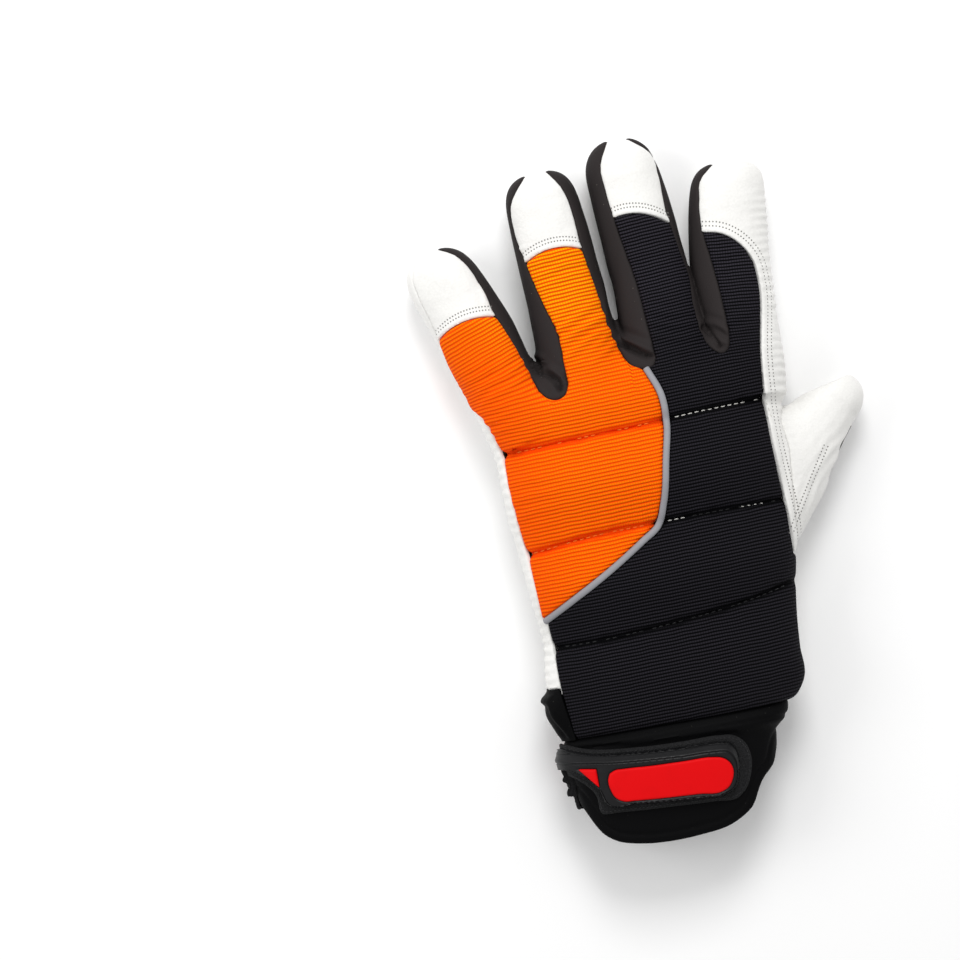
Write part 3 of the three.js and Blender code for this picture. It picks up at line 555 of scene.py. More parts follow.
# Small tools for surfaces: a row holds a point and the depths of its regions
def clip(rows, triangles, value):
    """Keeps the side of a surface where a value is positive, cutting the triangles that it crosses."""
    inside = value[triangles] > 0
    count = inside.sum(1)
    turn = np.arange(3)
    one, two = triangles[count == 1], triangles[count == 2]
    one = np.take_along_axis(one, (inside[count == 1].argmax(1)[:, None] + turn) % 3, 1)
    two = np.take_along_axis(two, ((~inside[count == 2]).argmax(1)[:, None] + turn) % 3, 1)
    cuts = np.concatenate([one[:, [0, 1]], one[:, [0, 2]], two[:, [1, 0]], two[:, [2, 0]]])
    cuts, place = np.unique(cuts, axis=0, return_inverse=True)
    place = place.ravel() + len(rows)
    a, b, c, d = np.split(place, np.cumsum([len(one), len(one), len(two)]))
    share = (value[cuts[:, 0]] / (value[cuts[:, 0]] - value[cuts[:, 1]]))[:, None]
    share = np.clip(share, 0.03, 1)
    rows = np.concatenate([rows, rows[cuts[:, 0]] * (1 - share) + rows[cuts[:, 1]] * share])
    triangles = np.concatenate([
        triangles[count == 3],
        np.stack([one[:, 0], a, b], 1),
        np.stack([c, two[:, 1], two[:, 2]], 1),
        np.stack([c, two[:, 2], d], 1),
    ])
    return compact(rows, triangles)


def compact(rows, triangles):
    """Drops the rows that no triangle uses."""
    used, place = np.unique(triangles, return_inverse=True)
    return rows[used], place.reshape(-1, 3)


def finer(rows, triangles):
    """Splits each triangle into four."""
    edges = np.sort(triangles[:, [0, 1, 1, 2, 2, 0]].reshape(-1, 2), 1)
    edges, place = np.unique(edges, axis=0, return_inverse=True)
    ab, bc, ca = (place.reshape(-1, 3) + len(rows)).T
    a, b, c = triangles.T
    rows = np.concatenate([rows, rows[edges].mean(1)])
    parts = [(a, ab, ca), (ab, b, bc), (ca, bc, c), (ab, bc, ca)]
    return rows, np.concatenate([np.stack(part, 1) for part in parts])


def largest(rows, triangles):
    """The largest connected part of a surface."""
    label = np.arange(len(rows))
    while True:
        low = label[triangles].min(1)
        new = label.copy()
        for k in range(3):
            np.minimum.at(new, triangles[:, k], low)
        new = new[new]
        if np.array_equal(new, label):
            break
        label = new
    owner = label[triangles[:, 0]]
    names, counts = np.unique(owner, return_counts=True)
    return compact(rows, triangles[owner == names[counts.argmax()]])


def walled(triangles, count):
    """Triangles of a wall: its outer face, its inner face and the rim between them."""
    edges = triangles[:, [0, 1, 1, 2, 2, 0]].reshape(-1, 2)
    key = np.sort(edges, 1)
    _, first, uses = np.unique(key, axis=0, return_index=True, return_counts=True)
    rim = edges[first[uses == 1]]
    a, b = rim.T
    return np.concatenate([
        triangles,
        triangles[:, ::-1] + count,
        np.stack([b, a, a + count], 1),
        np.stack([b, a + count, b + count], 1),
    ])


def noise(p, scale, seed):
    """Smooth random value from -1 to 1."""
    lattice = np.random.default_rng(SEED + seed).uniform(-1, 1, (32, 32, 32))
    q = p / scale
    cell = np.floor(q).astype(int)
    t = q - cell
    t = t * t * (3 - 2 * t)
    value = 0
    for corner in np.ndindex(2, 2, 2):
        weight = np.prod(np.where(corner, t, 1 - t), axis=1)
        i, j, k = ((cell + corner) % 32).T
        value = value + weight * lattice[i, j, k]
    return value


def step(x, low, high):
    """0 below a value, 1 above another and smooth between them."""
    t = np.clip((x - low) / (high - low), 0, 1)
    return t * t * (3 - 2 * t)


def roll(depth, radius):
    """How far an edge rounds down, at a depth inside the edge."""
    t = np.clip(1 - depth / radius, 0, 1)
    return radius * (1 - np.sqrt(np.maximum(1 - t * t, 0)))


# Folds: centre in plan, direction of the folds, pitch, reach along and across them, depth
FOLDS = {
    "back_orange": table("x y turn pitch along across deep", [
        (-14, 88, 24, 5.2, 13, 7, 0.75),
        (-9, 83, 36, 4.2, 8, 5, 0.5),
        (-20, 112, 8, 4.6, 10, 5, 0.4),
        (-47, 76, 28, 4.6, 11, 6, 0.6),
        (-54, 79, 20, 3.4, 8, 4, 0.5),
        (-24, 90, 20, 3.6, 7, 5, 0.5),
        (-55, 60, 12, 4.2, 8, 6, 0.5),
        (-45, 30, 8, 6, 10, 9, 0.3),
    ]),
    "back_black": table("x y turn pitch along across deep", [
        (17, 84, -8, 5, 11, 8, 0.45),
        (40, 82, 10, 5, 9, 9, 0.35),
        (10, 112, 8, 6, 11, 7, 0.3),
        (44, 106, 6, 5, 9, 7, 0.3),
    ]),
    "leather": table("x y turn pitch along across deep", [
        (60, 116, 4, 3.1, 6, 12, 0.35),
        (57, 92, 6, 3.6, 4, 16, 0.35),
        (54, 60, -6, 3.2, 5, 20, 0.3),
        (72, 26, 40, 4, 10, 9, 0.4),
        (63, 12, 60, 3.6, 9, 10, 0.35),
        (80, 36, 60, 5, 7, 6, 0.3),
        (-52, -20, 10, 3.4, 6, 22, 0.35),
        (-56, 40, 6, 3.6, 6, 25, 0.3),
    ]),
    "sides": table("x y turn pitch along across deep", [
        (2, 80, -40, 5, 8, 4, 1.2),
        (-28, 72, -60, 5, 6, 4, 0.9),
        (34, 80, -40, 5, 6, 4, 0.8),
        (-4, 96, 80, 7, 16, 6, 0.4),
    ]),
}


def folds(p, group):
    """Relief of a group of folds: short waves that fade out round a centre."""
    rows = FOLDS[group]
    total = 0
    for i, turn in enumerate(np.radians(rows["turn"])):
        x, y = p[:, 0] - rows["x"][i], p[:, 1] - rows["y"][i]
        along = (x * math.cos(turn) + y * math.sin(turn)) / rows["along"][i]
        across = (y * math.cos(turn) - x * math.sin(turn)) / rows["across"][i]
        wander = 1.6 * noise(p, 9, i)
        wave = np.sin(2 * np.pi * across * rows["across"][i] / rows["pitch"][i] + wander)
        total = total + rows["deep"][i] * wave * np.exp(-along * along - across * across)
    return total


# Creases of the cloth between two fingers, in millimetres of the plan
CREASES = [
    [(-2.2, 81.3), (0.9, 80.2), (3.1, 77.7), (5.5, 76), (8, 75.1)],
    [(-33.6, 80.9), (-33, 75.6), (-31.5, 75.2), (-27.5, 72.1), (-27.6, 69.1)],
    [(29, 82), (31.7, 78), (33, 74.5)],
]


def crease_depth(p):
    """A dark slit along each crease, with a lip above it."""
    total = 0
    for line in CREASES:
        line = flow(line, 1)
        off = p[:, None, :2] - line[None]
        away = np.linalg.norm(off, axis=2)
        nearest = away.argmin(1)
        side = off[np.arange(len(p)), nearest, 1]
        away = away[np.arange(len(p)), nearest]
        lip = np.where(side > 0, away, -away)
        total = total - 1.5 * np.exp(-(away / 0.8) ** 2) + 0.5 * np.exp(-((lip - 2) / 1.1) ** 2)
    return total


# Quilt lines over the hand, in millimetres of the plan
QUILT = table("x upper middle lower", [
    (-50, 48.4, 10.6, -25),
    (-25, 49.7, 13.4, -24.7),
    (0, 50.7, 14.2, -23),
    (25, 52, 14.6, -20.2),
    (48, 52.6, 14.4, -15.8),
])
QUILT_NAMES = ("upper", "middle", "lower")


def quilt_height(name, x):
    """Where a quilt line runs, up the hand."""
    return smooth(x, QUILT["x"], QUILT[name])


def quilt_distance(p):
    """Distance from each quilt line, up the hand."""
    return np.stack([p[:, 1] - quilt_height(name, p[:, 0]) for name in QUILT_NAMES], 1)


def quilting(p):
    """Relief of the padding between its stitched lines."""
    off = np.abs(quilt_distance(p))
    near = off.min(1)
    fade = step(p[:, 2], 12, 28)
    groove = -1.9 * np.exp(-(near / 1.2) ** 2) - 1.1 * np.exp(-near / 4)
    pucker = 0.42 * noise(p * [1, 0.25, 0.25], 3.4, 40) * np.exp(-(near / 5.5) ** 2)
    return fade * (groove + pucker)


def knit_relief(p, depth, group):
    """Padding, folds and soft edges of a knit panel."""
    caps = np.maximum.reduce([depth[n] for n in ("cap_little", "cap_ring", "cap_middle", "index_overlay")])
    cuff = depth["cuff"]
    relief = quilting(p) + folds(p, group) + 0.25 * noise(p, 14, 1)
    relief -= 0.75 * np.exp(-((caps - 0.1) / 1.1) ** 2)
    relief += 1.3 * np.exp(-((cuff + 7) / 5) ** 2) - 0.6 * np.exp(-((cuff + 0.2) / 1.4) ** 2)
    return relief - roll(depth["own"], 1.5)


def leather_relief(p, depth, edge=0.9):
    """Grain, wrinkles and rolled edge of soft leather."""
    fine = 0.1 * noise(p, 2.2, 3) + 0.16 * noise(p, 6, 4) + 0.3 * noise(p, 17, 5)
    return fine + folds(p, "leather") - roll(depth["own"], edge)


def cap_relief(p, depth):
    """Leather over the knit: proud at its free edge, turned down at its seams."""
    fabric = np.maximum(depth["back_orange"], depth["back_black"])
    lip = np.exp(-((fabric + 0.1) / 1.6) ** 2)
    puff = 0.5 * np.exp(-((fabric + 7.5) / 4) ** 2)
    return leather_relief(p, depth, 0.7) + 0.35 * lip + puff - 0.18 * np.exp(-((fabric + 2.9) / 1.3) ** 2)


def side_relief(p, depth):
    """Folds and creases of the cloth between the fingers."""
    return folds(p, "sides") + crease_depth(p) + 0.15 * noise(p, 9, 7) - roll(depth["own"], 0.9)


# How far the fold at the wrist stands out, down the edge of the hand
GUSSET_ROWS = table("y out", [
    (-60, 0.2), (-58.5, 0.8), (-56.7, 1.6), (-53.4, 3.1), (-50, 4.3),
    (-46, 4.2), (-43.1, 3), (-41.2, 1.2), (-40.2, 0.2),
])


def gusset_relief(p, depth):
    """A fold that stands out from the edge above the cuff, with a crease down its inner side."""
    out = smooth(p[:, 1], GUSSET_ROWS["y"], GUSSET_ROWS["out"])
    crease = p[:, 0] - np.interp(p[:, 1], [-60, -44], [-47.5, -50.8])
    fade = step(p[:, 1], -60, -56) * (1 - step(p[:, 1], -46, -43.5))
    fold = out * step(depth["own"], -0.2, 3) - 2.2 * fade * np.exp(-(crease / 1.1) ** 2)
    return fold + 0.15 * noise(p, 5, 8)


def cuff_relief(p, depth):
    """Smooth cloth with a soft roll under the knit and a sewn hem, pressed flat under the tab."""
    from_knit = CUFF_SEAM * PALM - p[:, 1]
    pressed = 1 - step(depth_inside(p[:, :2], [plan(BACK_BAND)]), -2.5, -0.5)
    bulge = 1.5 * np.exp(-((from_knit - 4.5) / 2.8) ** 2) * pressed * step(p[:, 2], 14, 27)
    bulge -= 1.1 * np.exp(-(from_knit / 1.5) ** 2)
    hem = depth["own"]
    line = -0.5 * np.exp(-((hem - 3.6) / 0.6) ** 2)
    return bulge + line + 0.12 * noise(p, 13, 9) - roll(hem, 0.9)


# Each wall: what it is made of, how thick it is and its relief
WALLS = {
    "back_orange": ("orange_knit", PADDING, lambda p, d: knit_relief(p, d, "back_orange")),
    "back_black": ("black_knit", PADDING, lambda p, d: knit_relief(p, d, "back_black")),
    "palm_leather": ("white_leather", LEATHER, leather_relief),
    "thumb_leather": ("white_leather", LEATHER, leather_relief),
    **dict.fromkeys(
        ("cap_little", "cap_ring", "cap_middle", "index_overlay"), ("white_leather", CAP, cap_relief)),
    **dict.fromkeys(
        ("side_little_ring", "side_ring_middle", "side_middle_index"), ("side_cloth", NEOPRENE, side_relief)),
    "thumb_side": ("side_cloth", LEATHER, side_relief),
    "side_gusset": ("neoprene", NEOPRENE, gusset_relief),
    "cuff": ("neoprene", NEOPRENE, cuff_relief),
}
PIECE_NAMES = {
    "back_orange": "orange_back_panel", "back_black": "black_back_panel", "palm_leather": "palm_hide",
    "thumb_leather": "thumb_hide", "cap_little": "little_finger_cap", "cap_ring": "ring_finger_cap",
    "cap_middle": "middle_finger_cap", "index_overlay": "index_finger_cap_and_strip",
    "side_little_ring": "little_to_ring_sides", "side_ring_middle": "ring_to_middle_sides",
    "side_middle_index": "middle_to_index_sides", "thumb_side": "thumb_side_strip",
    "side_gusset": "wrist_gusset_fold", "cuff": "cuff_sleeve",
}


# Materials
class Value:
    """A number, colour or vector in a material, which takes part in sums."""

    def __init__(self, look, socket):
        self.look, self.socket = look, socket

    def __add__(self, other):
        return self.look.math("ADD", self, other)

    __radd__ = __add__

    def __sub__(self, other):
        return self.look.math("SUBTRACT", self, other)

    def __rsub__(self, other):
        return self.look.math("SUBTRACT", other, self)

    def __mul__(self, other):
        return self.look.math("MULTIPLY", self, other)

    __rmul__ = __mul__

    def __truediv__(self, other):
        return self.look.math("DIVIDE", self, other)

    def __rtruediv__(self, other):
        return self.look.math("DIVIDE", other, self)

    def __pow__(self, other):
        return self.look.math("POWER", self, other)


class Look:
    """A material: one shader and what feeds it."""

    def __init__(self, name, **constants):
        self.material = bpy.data.materials.new(name)
        self.material.use_nodes = True
        self.tree = self.material.node_tree
        self.shader = next(n for n in self.tree.nodes if n.type == "BSDF_PRINCIPLED")
        for socket, value in constants.items():
            self.shader.inputs[socket.replace("_", " ")].default_value = value

    def node(self, kind, settings, values, output=0):
        made = self.tree.nodes.new(kind)
        for key, value in settings.items():
            setattr(made, key, value)
        for key, value in values.items():
            self.feed(made.inputs[key], value)
        return Value(self, made.outputs[output])

    def feed(self, socket, value):
        if isinstance(value, Value):
            self.tree.links.new(value.socket, socket)
        else:
            socket.default_value = value

    def math(self, operation, *values):
        return self.node("ShaderNodeMath", {"operation": operation}, dict(enumerate(values)))

    def attribute(self, name):
        return self.node("ShaderNodeAttribute", {"attribute_name": name}, {}, "Fac")

    def place(self):
        return self.node("ShaderNodeTexCoord", {}, {}, "Object")

    def grain(self, size, detail=2.0, rough=0.55):
        """Noise from 0 to 1, with features of a size in millimetres."""
        return self.node("ShaderNodeTexNoise", {}, {
            "Vector": self.place(), "Scale": 1 / (size * MM), "Detail": detail, "Roughness": rough,
        })

    def cells(self, size):
        """Distance from the middle of each small cell."""
        return self.node("ShaderNodeTexVoronoi", {"feature": "F1"}, {
            "Vector": self.place(), "Scale": 1 / (size * MM),
        }, "Distance")

    def ramp(self, value, low, high):
        """0 at one value, 1 at another and smooth between them."""
        return self.node("ShaderNodeMapRange", {"interpolation_type": "SMOOTHSTEP"}, {
            "Value": value, "From Min": low, "From Max": high,
        })

    def mix(self, share, one, other):
        """Colour between two colours."""
        return self.node("ShaderNodeMix", {"data_type": "RGBA"}, {0: share, 6: one, 7: other}, 2)

    def finish(self, colour, rough, height, depth, strength=1.0):
        self.feed(self.shader.inputs["Base Color"], colour)
        self.feed(self.shader.inputs["Roughness"], rough)
        bump = self.node("ShaderNodeBump", {}, {
            "Strength": strength, "Distance": depth * MM, "Height": height,
        })
        self.feed(self.shader.inputs["Normal"], bump)
        return self.material


def colour(code):
    """Colour from its screen code."""
    parts = [int(code[i:i + 2], 16) / 255 for i in (0, 2, 4)]
    return (*[c / 12.92 if c <= 0.04045 else ((c + 0.055) / 1.055) ** 2.4 for c in parts], 1)


def knit(name, pitch, crest, groove, shade, tips, edge):
    """Ribbed knit: round ribs across the hand, each a row of small stitches.

    The crests carry a painted highlight towards the fingertips and painted shade at the little-finger edge;
    painted shade also darkens the grooves between the ribs and the dips of the padding.
    """
    crest, groove, shade, tips, edge = map(colour, (crest, groove, shade, tips, edge))
    look = Look(name, Specular_IOR_Level=0.06)
    rib, wale = look.attribute("rib"), look.attribute("wale")
    sway = (look.grain(9) - 0.5) * 0.7
    row = (rib + sway) / pitch
    ribs = look.math("ABSOLUTE", look.math("SINE", row * math.pi))
    loops = look.math("ABSOLUTE", look.math("SINE", (wale + sway) * (math.pi / 0.95)))
    thread = look.grain(0.35, 3)
    height = ribs ** 0.8 + 0.4 * (loops ** 0.6) * ribs + 0.12 * thread
    # Painted light on the rib crests and loops and painted shade in the grooves between the ribs, over the
    # ribs' bump; the thread noise varies the tone at random
    light = look.ramp(ribs, 0.3, 0.97) * (0.4 + 0.6 * loops)
    # Painted highlight: the crests turn to the tips colour towards the fingertips
    crest = look.mix(look.ramp(rib, 68, 108), crest, tips)
    # Painted shade: the crests turn to the edge colour at the little-finger edge
    crest = look.mix(look.ramp(wale, -26, -54) * 0.7, crest, edge)
    base = look.mix(light * (0.82 + 0.36 * (thread - 0.5)), groove, crest)
    # Painted shade: the shade colour darkens the knit where its relief dips below the form, in the quilt
    # grooves, folds, creases and rolled edges
    wear_and_shade = look.ramp(look.attribute("low"), 0.15, 1.5)
    return look.finish(look.mix(wear_and_shade * 0.75, base, shade), 0.78 + 0.12 * thread, height, 0.36)


def leather(name, tone, dim):
    """Fine-grained white leather."""
    look = Look(name, Specular_IOR_Level=0.35, Sheen_Weight=0.08)
    pebble = look.cells(0.85)
    fine = look.grain(0.5, 4)
    drift = look.grain(24, 2)
    height = pebble * 0.6 + fine * 0.5 + look.grain(2.6, 3) * 0.8
    soil = look.ramp(drift * 0.5 + pebble * 0.3, 0.25, 0.75)
    return look.finish(look.mix(soil * 0.5, tone, dim), 0.5 + 0.16 * fine, height, 0.16, 0.8)


def smooth_cloth(name, tone, fleck, rough):
    """Close black cloth with a few light flecks of dust."""
    look = Look(name, Specular_IOR_Level=0.06)
    weave = look.grain(0.45, 3)
    speck = look.ramp(look.cells(2.1), 0.08, 0.03)
    rare = look.ramp(look.grain(3.7, 1), 0.56, 0.62)
    base = look.mix(speck * rare * 0.75, tone, fleck)
    return look.finish(base, rough + 0.12 * weave, weave + look.grain(3, 2) * 0.6, 0.1)


def rubber(name, tone, wear_and_shade, rough=0.36, shine=0.24):
    """Moulded rubber with a faint satin texture."""
    look = Look(name, Specular_IOR_Level=shine)
    fine = look.grain(0.4, 3)
    # Worn colour in random patches of real wear
    wear = look.ramp(look.grain(7, 3), 0.45, 0.8)
    return look.finish(look.mix(wear * 0.35, tone, wear_and_shade), rough + 0.14 * fine, fine, 0.05)


def thread_look(name, tone, dim):
    """Twisted sewing thread."""
    look = Look(name, Sheen_Weight=0.2, Specular_IOR_Level=0.3)
    twist = look.grain(0.3, 2)
    return look.finish(look.mix(twist, dim, tone), 0.6 + 0.2 * twist, twist, 0.06)


def webbing(name, tone, dim):
    """Hook strap: a close bed of short loops."""
    look = Look(name, Specular_IOR_Level=0.3)
    loops = look.cells(0.7)
    fuzz = look.grain(0.3, 3)
    return look.finish(look.mix(loops, dim, tone), 0.75 + 0.15 * fuzz, loops + fuzz * 0.5, 0.3)


LOOKS = {
    # In each knit the shade colour is painted shade in the dips of the relief, the tips colour a painted
    # highlight towards the fingertips and the edge colour painted shade at the little-finger edge
    "orange_knit": knit("orange ribbed knit", 1.4, "ff8400", "ff4c00", "e83c00", "ffbc00", "ff6400"),
    "black_knit": knit("black ribbed knit", 1.22, "2d2b31", "010102", "030304", "3a373f", "26242a"),
    "white_leather": leather("white leather", colour("ebeae7"), colour("dbdad6")),
    "side_cloth": smooth_cloth("smooth black side cloth", colour("2f2b2b"), colour("9c958c"), 0.6),
    "neoprene": smooth_cloth("black neoprene", colour("060607"), colour("504e4a"), 0.55),
    "piping": rubber("grey piping", colour("8f8f94"), colour("a3a3a8"), 0.42),
    "strap": webbing("hook strap", colour("1a1a1c"), colour("060607")),
    "rubber": rubber("black moulded rubber", colour("0f0f11"), colour("18181a"), 0.34),
    "red_rubber": rubber("red moulded rubber", colour("e00006"), colour("cc0004"), 0.45, 0.12),
    "cream_rubber": rubber("cream moulded rubber", colour("e9c79f"), colour("dcb68c"), 0.5),
    "white_thread": thread_look("white thread", colour("ecebe6"), colour("b9b7b0")),
    "orange_thread": thread_look("orange thread", colour("ff8a14"), colour("d85200")),
    "black_thread": thread_look("black thread", colour("1b1b1e"), colour("060607")),
    # Grey dots of painted shade inside the needle holes
    "needle_holes": thread_look("needle holes", colour("827f7a"), colour("5a5956")),
}


def placed(name, data):
    """An object of some mesh, light or camera in the scene."""
    made = bpy.data.objects.new(name, data)
    bpy.context.collection.objects.link(made)
    return made


def piece(name, points, triangles, look, nodes=(), slot=None, **attributes):
    """Makes one piece of the glove from points in millimetres."""
    mesh = bpy.data.meshes.new(name)
    mesh.from_pydata(points * MM, [], triangles)
    for key, values in attributes.items():
        layer = mesh.attributes.new(key, "FLOAT", "POINT")
        layer.data.foreach_set("value", np.asarray(values, np.float32))
    mesh.materials.append(LOOKS[look])
    mesh.shade_smooth()
    mesh.set_sharp_from_angle(angle=math.radians(55))
    made = placed(name, mesh)
    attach(made, "root")
    if nodes:
        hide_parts(*nodes)
    return made


def knit_directions(p):
    """Where a point lies across the ribs and along them, turning with each finger."""
    turned = step(p[:, 1], 60, 84)
    forms, ribs, wales = [], [], []
    for name, spec in FINGERS.items():
        along, across = finger_frame(name, p)
        forms.append(np.abs(across) / half_width(name, along / (spec["length"] * FINGER)))
        ribs.append(along + spec["base"][1] * PALM)
        wales.append(across + spec["base"][0] * PALM)
    nearest = np.argmin(forms, axis=0)
    rib = np.choose(nearest, ribs)
    wale = np.choose(nearest, wales)
    lean = 0.035 * p[:, 0]
    return p[:, 1] - lean + (rib - p[:, 1] + lean) * turned, p[:, 0] + (wale - p[:, 0]) * turned


def unit_slope(p):
    """Outward direction of the form, of length 1."""
    rise, size = slope(p)
    return rise / size


surface, surface_triangles = fine_surface()
depths = region_depths(surface)
NAMES = list(depths)
SURFACE_ROWS = np.concatenate([surface, np.stack([depths[n] for n in NAMES], 1)], 1)


def cut_surface(*values, rows=SURFACE_ROWS, triangles=surface_triangles):
    """The part of the surface where each value, worked out from its rows, is positive."""
    for value in values:
        rows, triangles = clip(rows, triangles, value(rows))
    return rows, triangles


def column(name):
    """Where a region's depth stands in a row."""
    return 3 + NAMES.index(name)


covers = []
for node, (look, thickness, relief) in WALLS.items():
    rows, triangles = cut_surface(lambda r: r[:, column(node)] - 0.06)
    rows, triangles = largest(rows, triangles)
    base = rows[:, :3]
    depth = {n: rows[:, column(n)] for n in NAMES}
    depth["own"] = depth[node]
    normal = unit_slope(base)
    rise = relief(base, depth)
    outer = base + normal * rise[:, None]
    outer[:, 2] = np.maximum(outer[:, 2], FLOOR)
    inner = base - normal * (thickness - np.minimum(rise, 0)[:, None] * 0.5)
    inner[:, 2] = np.maximum(inner[:, 2], FLOOR + 0.4)
    covers.append((outer, triangles))
    points = np.concatenate([outer, inner])
    rib, wale = knit_directions(points)
    # How far the relief dips below the form; the knit paints shade into these dips
    low = np.clip(-np.tile(rise, 2), 0, 3)
    made = piece(PIECE_NAMES[node], points, walled(triangles, len(outer)), look, [node],
                 rib=rib, wale=wale, low=low)


# Palm patch, strap and moulded tabs lie on the surface in layers
# The patch is scalloped round the roots of the fingers
PATCH_OUTLINE = [
    (-0.44, 0.29), (-0.455, 0.6), (-0.43, 0.7), (-0.36, 0.72), (-0.3, 0.69), (-0.25, 0.62),
    (-0.19, 0.61), (-0.15, 0.66), (-0.12, 0.77), (-0.04, 0.8), (0.01, 0.72), (0.067, 0.64),
    (0.12, 0.65), (0.155, 0.77), (0.21, 0.8), (0.28, 0.77), (0.32, 0.68), (0.4, 0.64),
    (0.47, 0.59), (0.48, 0.5), (0.43, 0.44), (0.33, 0.4), (0.25, 0.28), (0.21, 0.13),
    (0.19, -0.12), (0.17, -0.26), (0.11, -0.29), (-0.12, -0.305), (-0.36, -0.28), (-0.4, 0),
]
BACK = HEIGHT / 2
STRAP = 1.2            # thickness of the wrist strap
STRAP_TOP = GAP + STRAP
TAB_LOW = STRAP_TOP + GAP
SLOT = STRAP + 2 * GAP
INLAY_LOW = 3.2        # underside of a badge or wedge over the wrist
TURN_UNDER = 6         # how far below the wrist's middle the palm tab ends
TAB_LIFT = 3.6         # height of a tab over the wrist, where its outline is seen

# Height of a moulded tab over the wrist, from its edge (0) to its panel (1)
TAB_RIM = table("share height", [
    (0, 2.75), (0.07, 2.95), (0.13, 2.55), (0.18, 2.6), (0.24, 3.0), (0.66, 4.55), (0.74, 4.65),
    (0.8, 4.2), (0.86, 4.2), (0.92, 4.5), (1, 4.4),
])
INLAY = table("depth height", [(0, 4.2), (0.25, 4.65), (0.6, 4.8), (30, 4.8)])
BADGE = table("depth height", [
    (0, 4.5), (0.3, 5.1), (1.1, 5.2), (1.2, 4.85), (1.9, 4.85), (2.0, 5.2), (30, 5.2),
])


def closed(ring, step=1.0):
    """A smooth closed outline."""
    return flow(plan([*ring, ring[0]]), step)[:-1]


def ring_depth(p, ring):
    """Distance inside one outline in plan."""
    return depth_inside(p[:, :2], [ring])


def on_side(side, ring):
    """Depth inside an outline on the back (1) or the palm side (-1) of the wrist."""
    clear = SLOT if side > 0 else TURN_UNDER
    return lambda p: np.minimum(ring_depth(p, ring), side * (p[:, 2] - BACK) - clear)


def tab_height(tab, panel, inlays):
    """Relief of a moulded tab: its rim slopes up to a panel, with a groove round each inlay."""
    def height(p):
        edge = np.maximum(ring_depth(p, tab), 0)
        outside = np.maximum(-ring_depth(p, panel), 0)
        share = edge / np.maximum(edge + outside, 1e-6)
        rim = np.interp(share, TAB_RIM["share"], TAB_RIM["height"])
        for ring in inlays:
            rim = rim - 0.4 * np.exp(-(ring_depth(p, ring) / 0.4) ** 2)
        return rim - 0.7 * np.clip(1 - edge / 0.35, 0, 1) ** 2 + 0.03 * noise(p, 2, 23)
    return height


def stepped(rows, ring):
    """Relief of a flat badge with its edge rounded or stepped."""
    return lambda p: np.interp(ring_depth(p, ring), rows["depth"], rows["height"])


def with_slope(rows):
    """Rows with the form's outward direction at their ends."""
    return np.concatenate([rows, unit_slope(rows[:, :3])], 1)


WRIST_ROWS, WRIST_TRIANGLES = cut_surface(lambda r: -50 - r[:, 1])
WRIST_ROWS = with_slope(WRIST_ROWS)


def laid(name, look, node, inside, height, low, splits=0, lift=TAB_LIFT,
         skin=(WRIST_ROWS, WRIST_TRIANGLES), end=None):
    """A layer over a skin, whose outline is drawn as seen from above at a height over it."""
    rows, triangles = largest(*cut_surface(
        lambda r: inside(r[:, :3] + r[:, -3:] * lift), rows=skin[0], triangles=skin[1]))
    for _ in range(splits):
        rows, triangles = finer(rows, triangles)
    base = rows[:, :3]
    normal = unit_slope(base)
    outer = base + normal * height(base + normal * lift)[:, None]
    points = np.concatenate([outer, base + normal * low])
    points[:, 2] = np.maximum(points[:, 2], 0)
    covers.append((outer, triangles))
    triangles = walled(triangles, len(outer))
    if end:
        points, triangles = many([(points, triangles), end])
    return piece(name, points, triangles, look, [node], low=np.zeros(len(points)))


def many(parts):
    """Joins skins into one."""
    points, triangles, count = [], [], 0
    for p, t in parts:
        points.append(p)
        triangles.append(t + count)
        count += len(p)
    return np.concatenate(points), np.concatenate(triangles)


def frayed(ring, low, high, reach=0.9):
    """A flat end of cloth with a rough edge, between two heights."""
    edge = closed(ring, 0.35)
    middle = edge.mean(0)
    points = np.column_stack([edge, np.full(len(edge), low)])
    rough = 1 + reach / 12 * (noise(points, 0.9, 31) + noise(points, 2.3, 32))
    points[:, :2] = middle + (edge - middle) * rough[:, None]
    top = points + [0, 0, high - low] + noise(points, 1.3, 33)[:, None] * [0, 0, 0.25]
    count = len(points)
    i = np.arange(count)
    j = (i + 1) % count
    fan = np.full(count, 2 * count)
    centres = [(*middle, low), (*middle, high)]
    return np.concatenate([points, top, centres]), np.concatenate([
        np.stack([i, j, j + count], 1), np.stack([i, j + count, i + count], 1),
        np.stack([fan, j, i], 1), np.stack([fan + 1, i + count, j + count], 1),
    ])


patch_ring = closed(PATCH_OUTLINE)
laid("palm_second_layer", "white_leather", "palm_patch",
     lambda p: np.minimum(ring_depth(p, patch_ring), SEAM_HEIGHT - p[:, 2]),
     lambda p: FLOOR - 0.12 + 0.1 * noise(p, 7, 21) - roll(ring_depth(p, patch_ring), 0.6), GAP,
     lift=0, skin=(with_slope(SURFACE_ROWS), surface_triangles))

back_band, palm_band = closed(BACK_BAND), plan(PALM_BAND)


def band_depth(p):
    """Distance inside the strap's outline on either side of the wrist."""
    return np.where(p[:, 2] > BACK, ring_depth(p, back_band), ring_depth(p, palm_band))


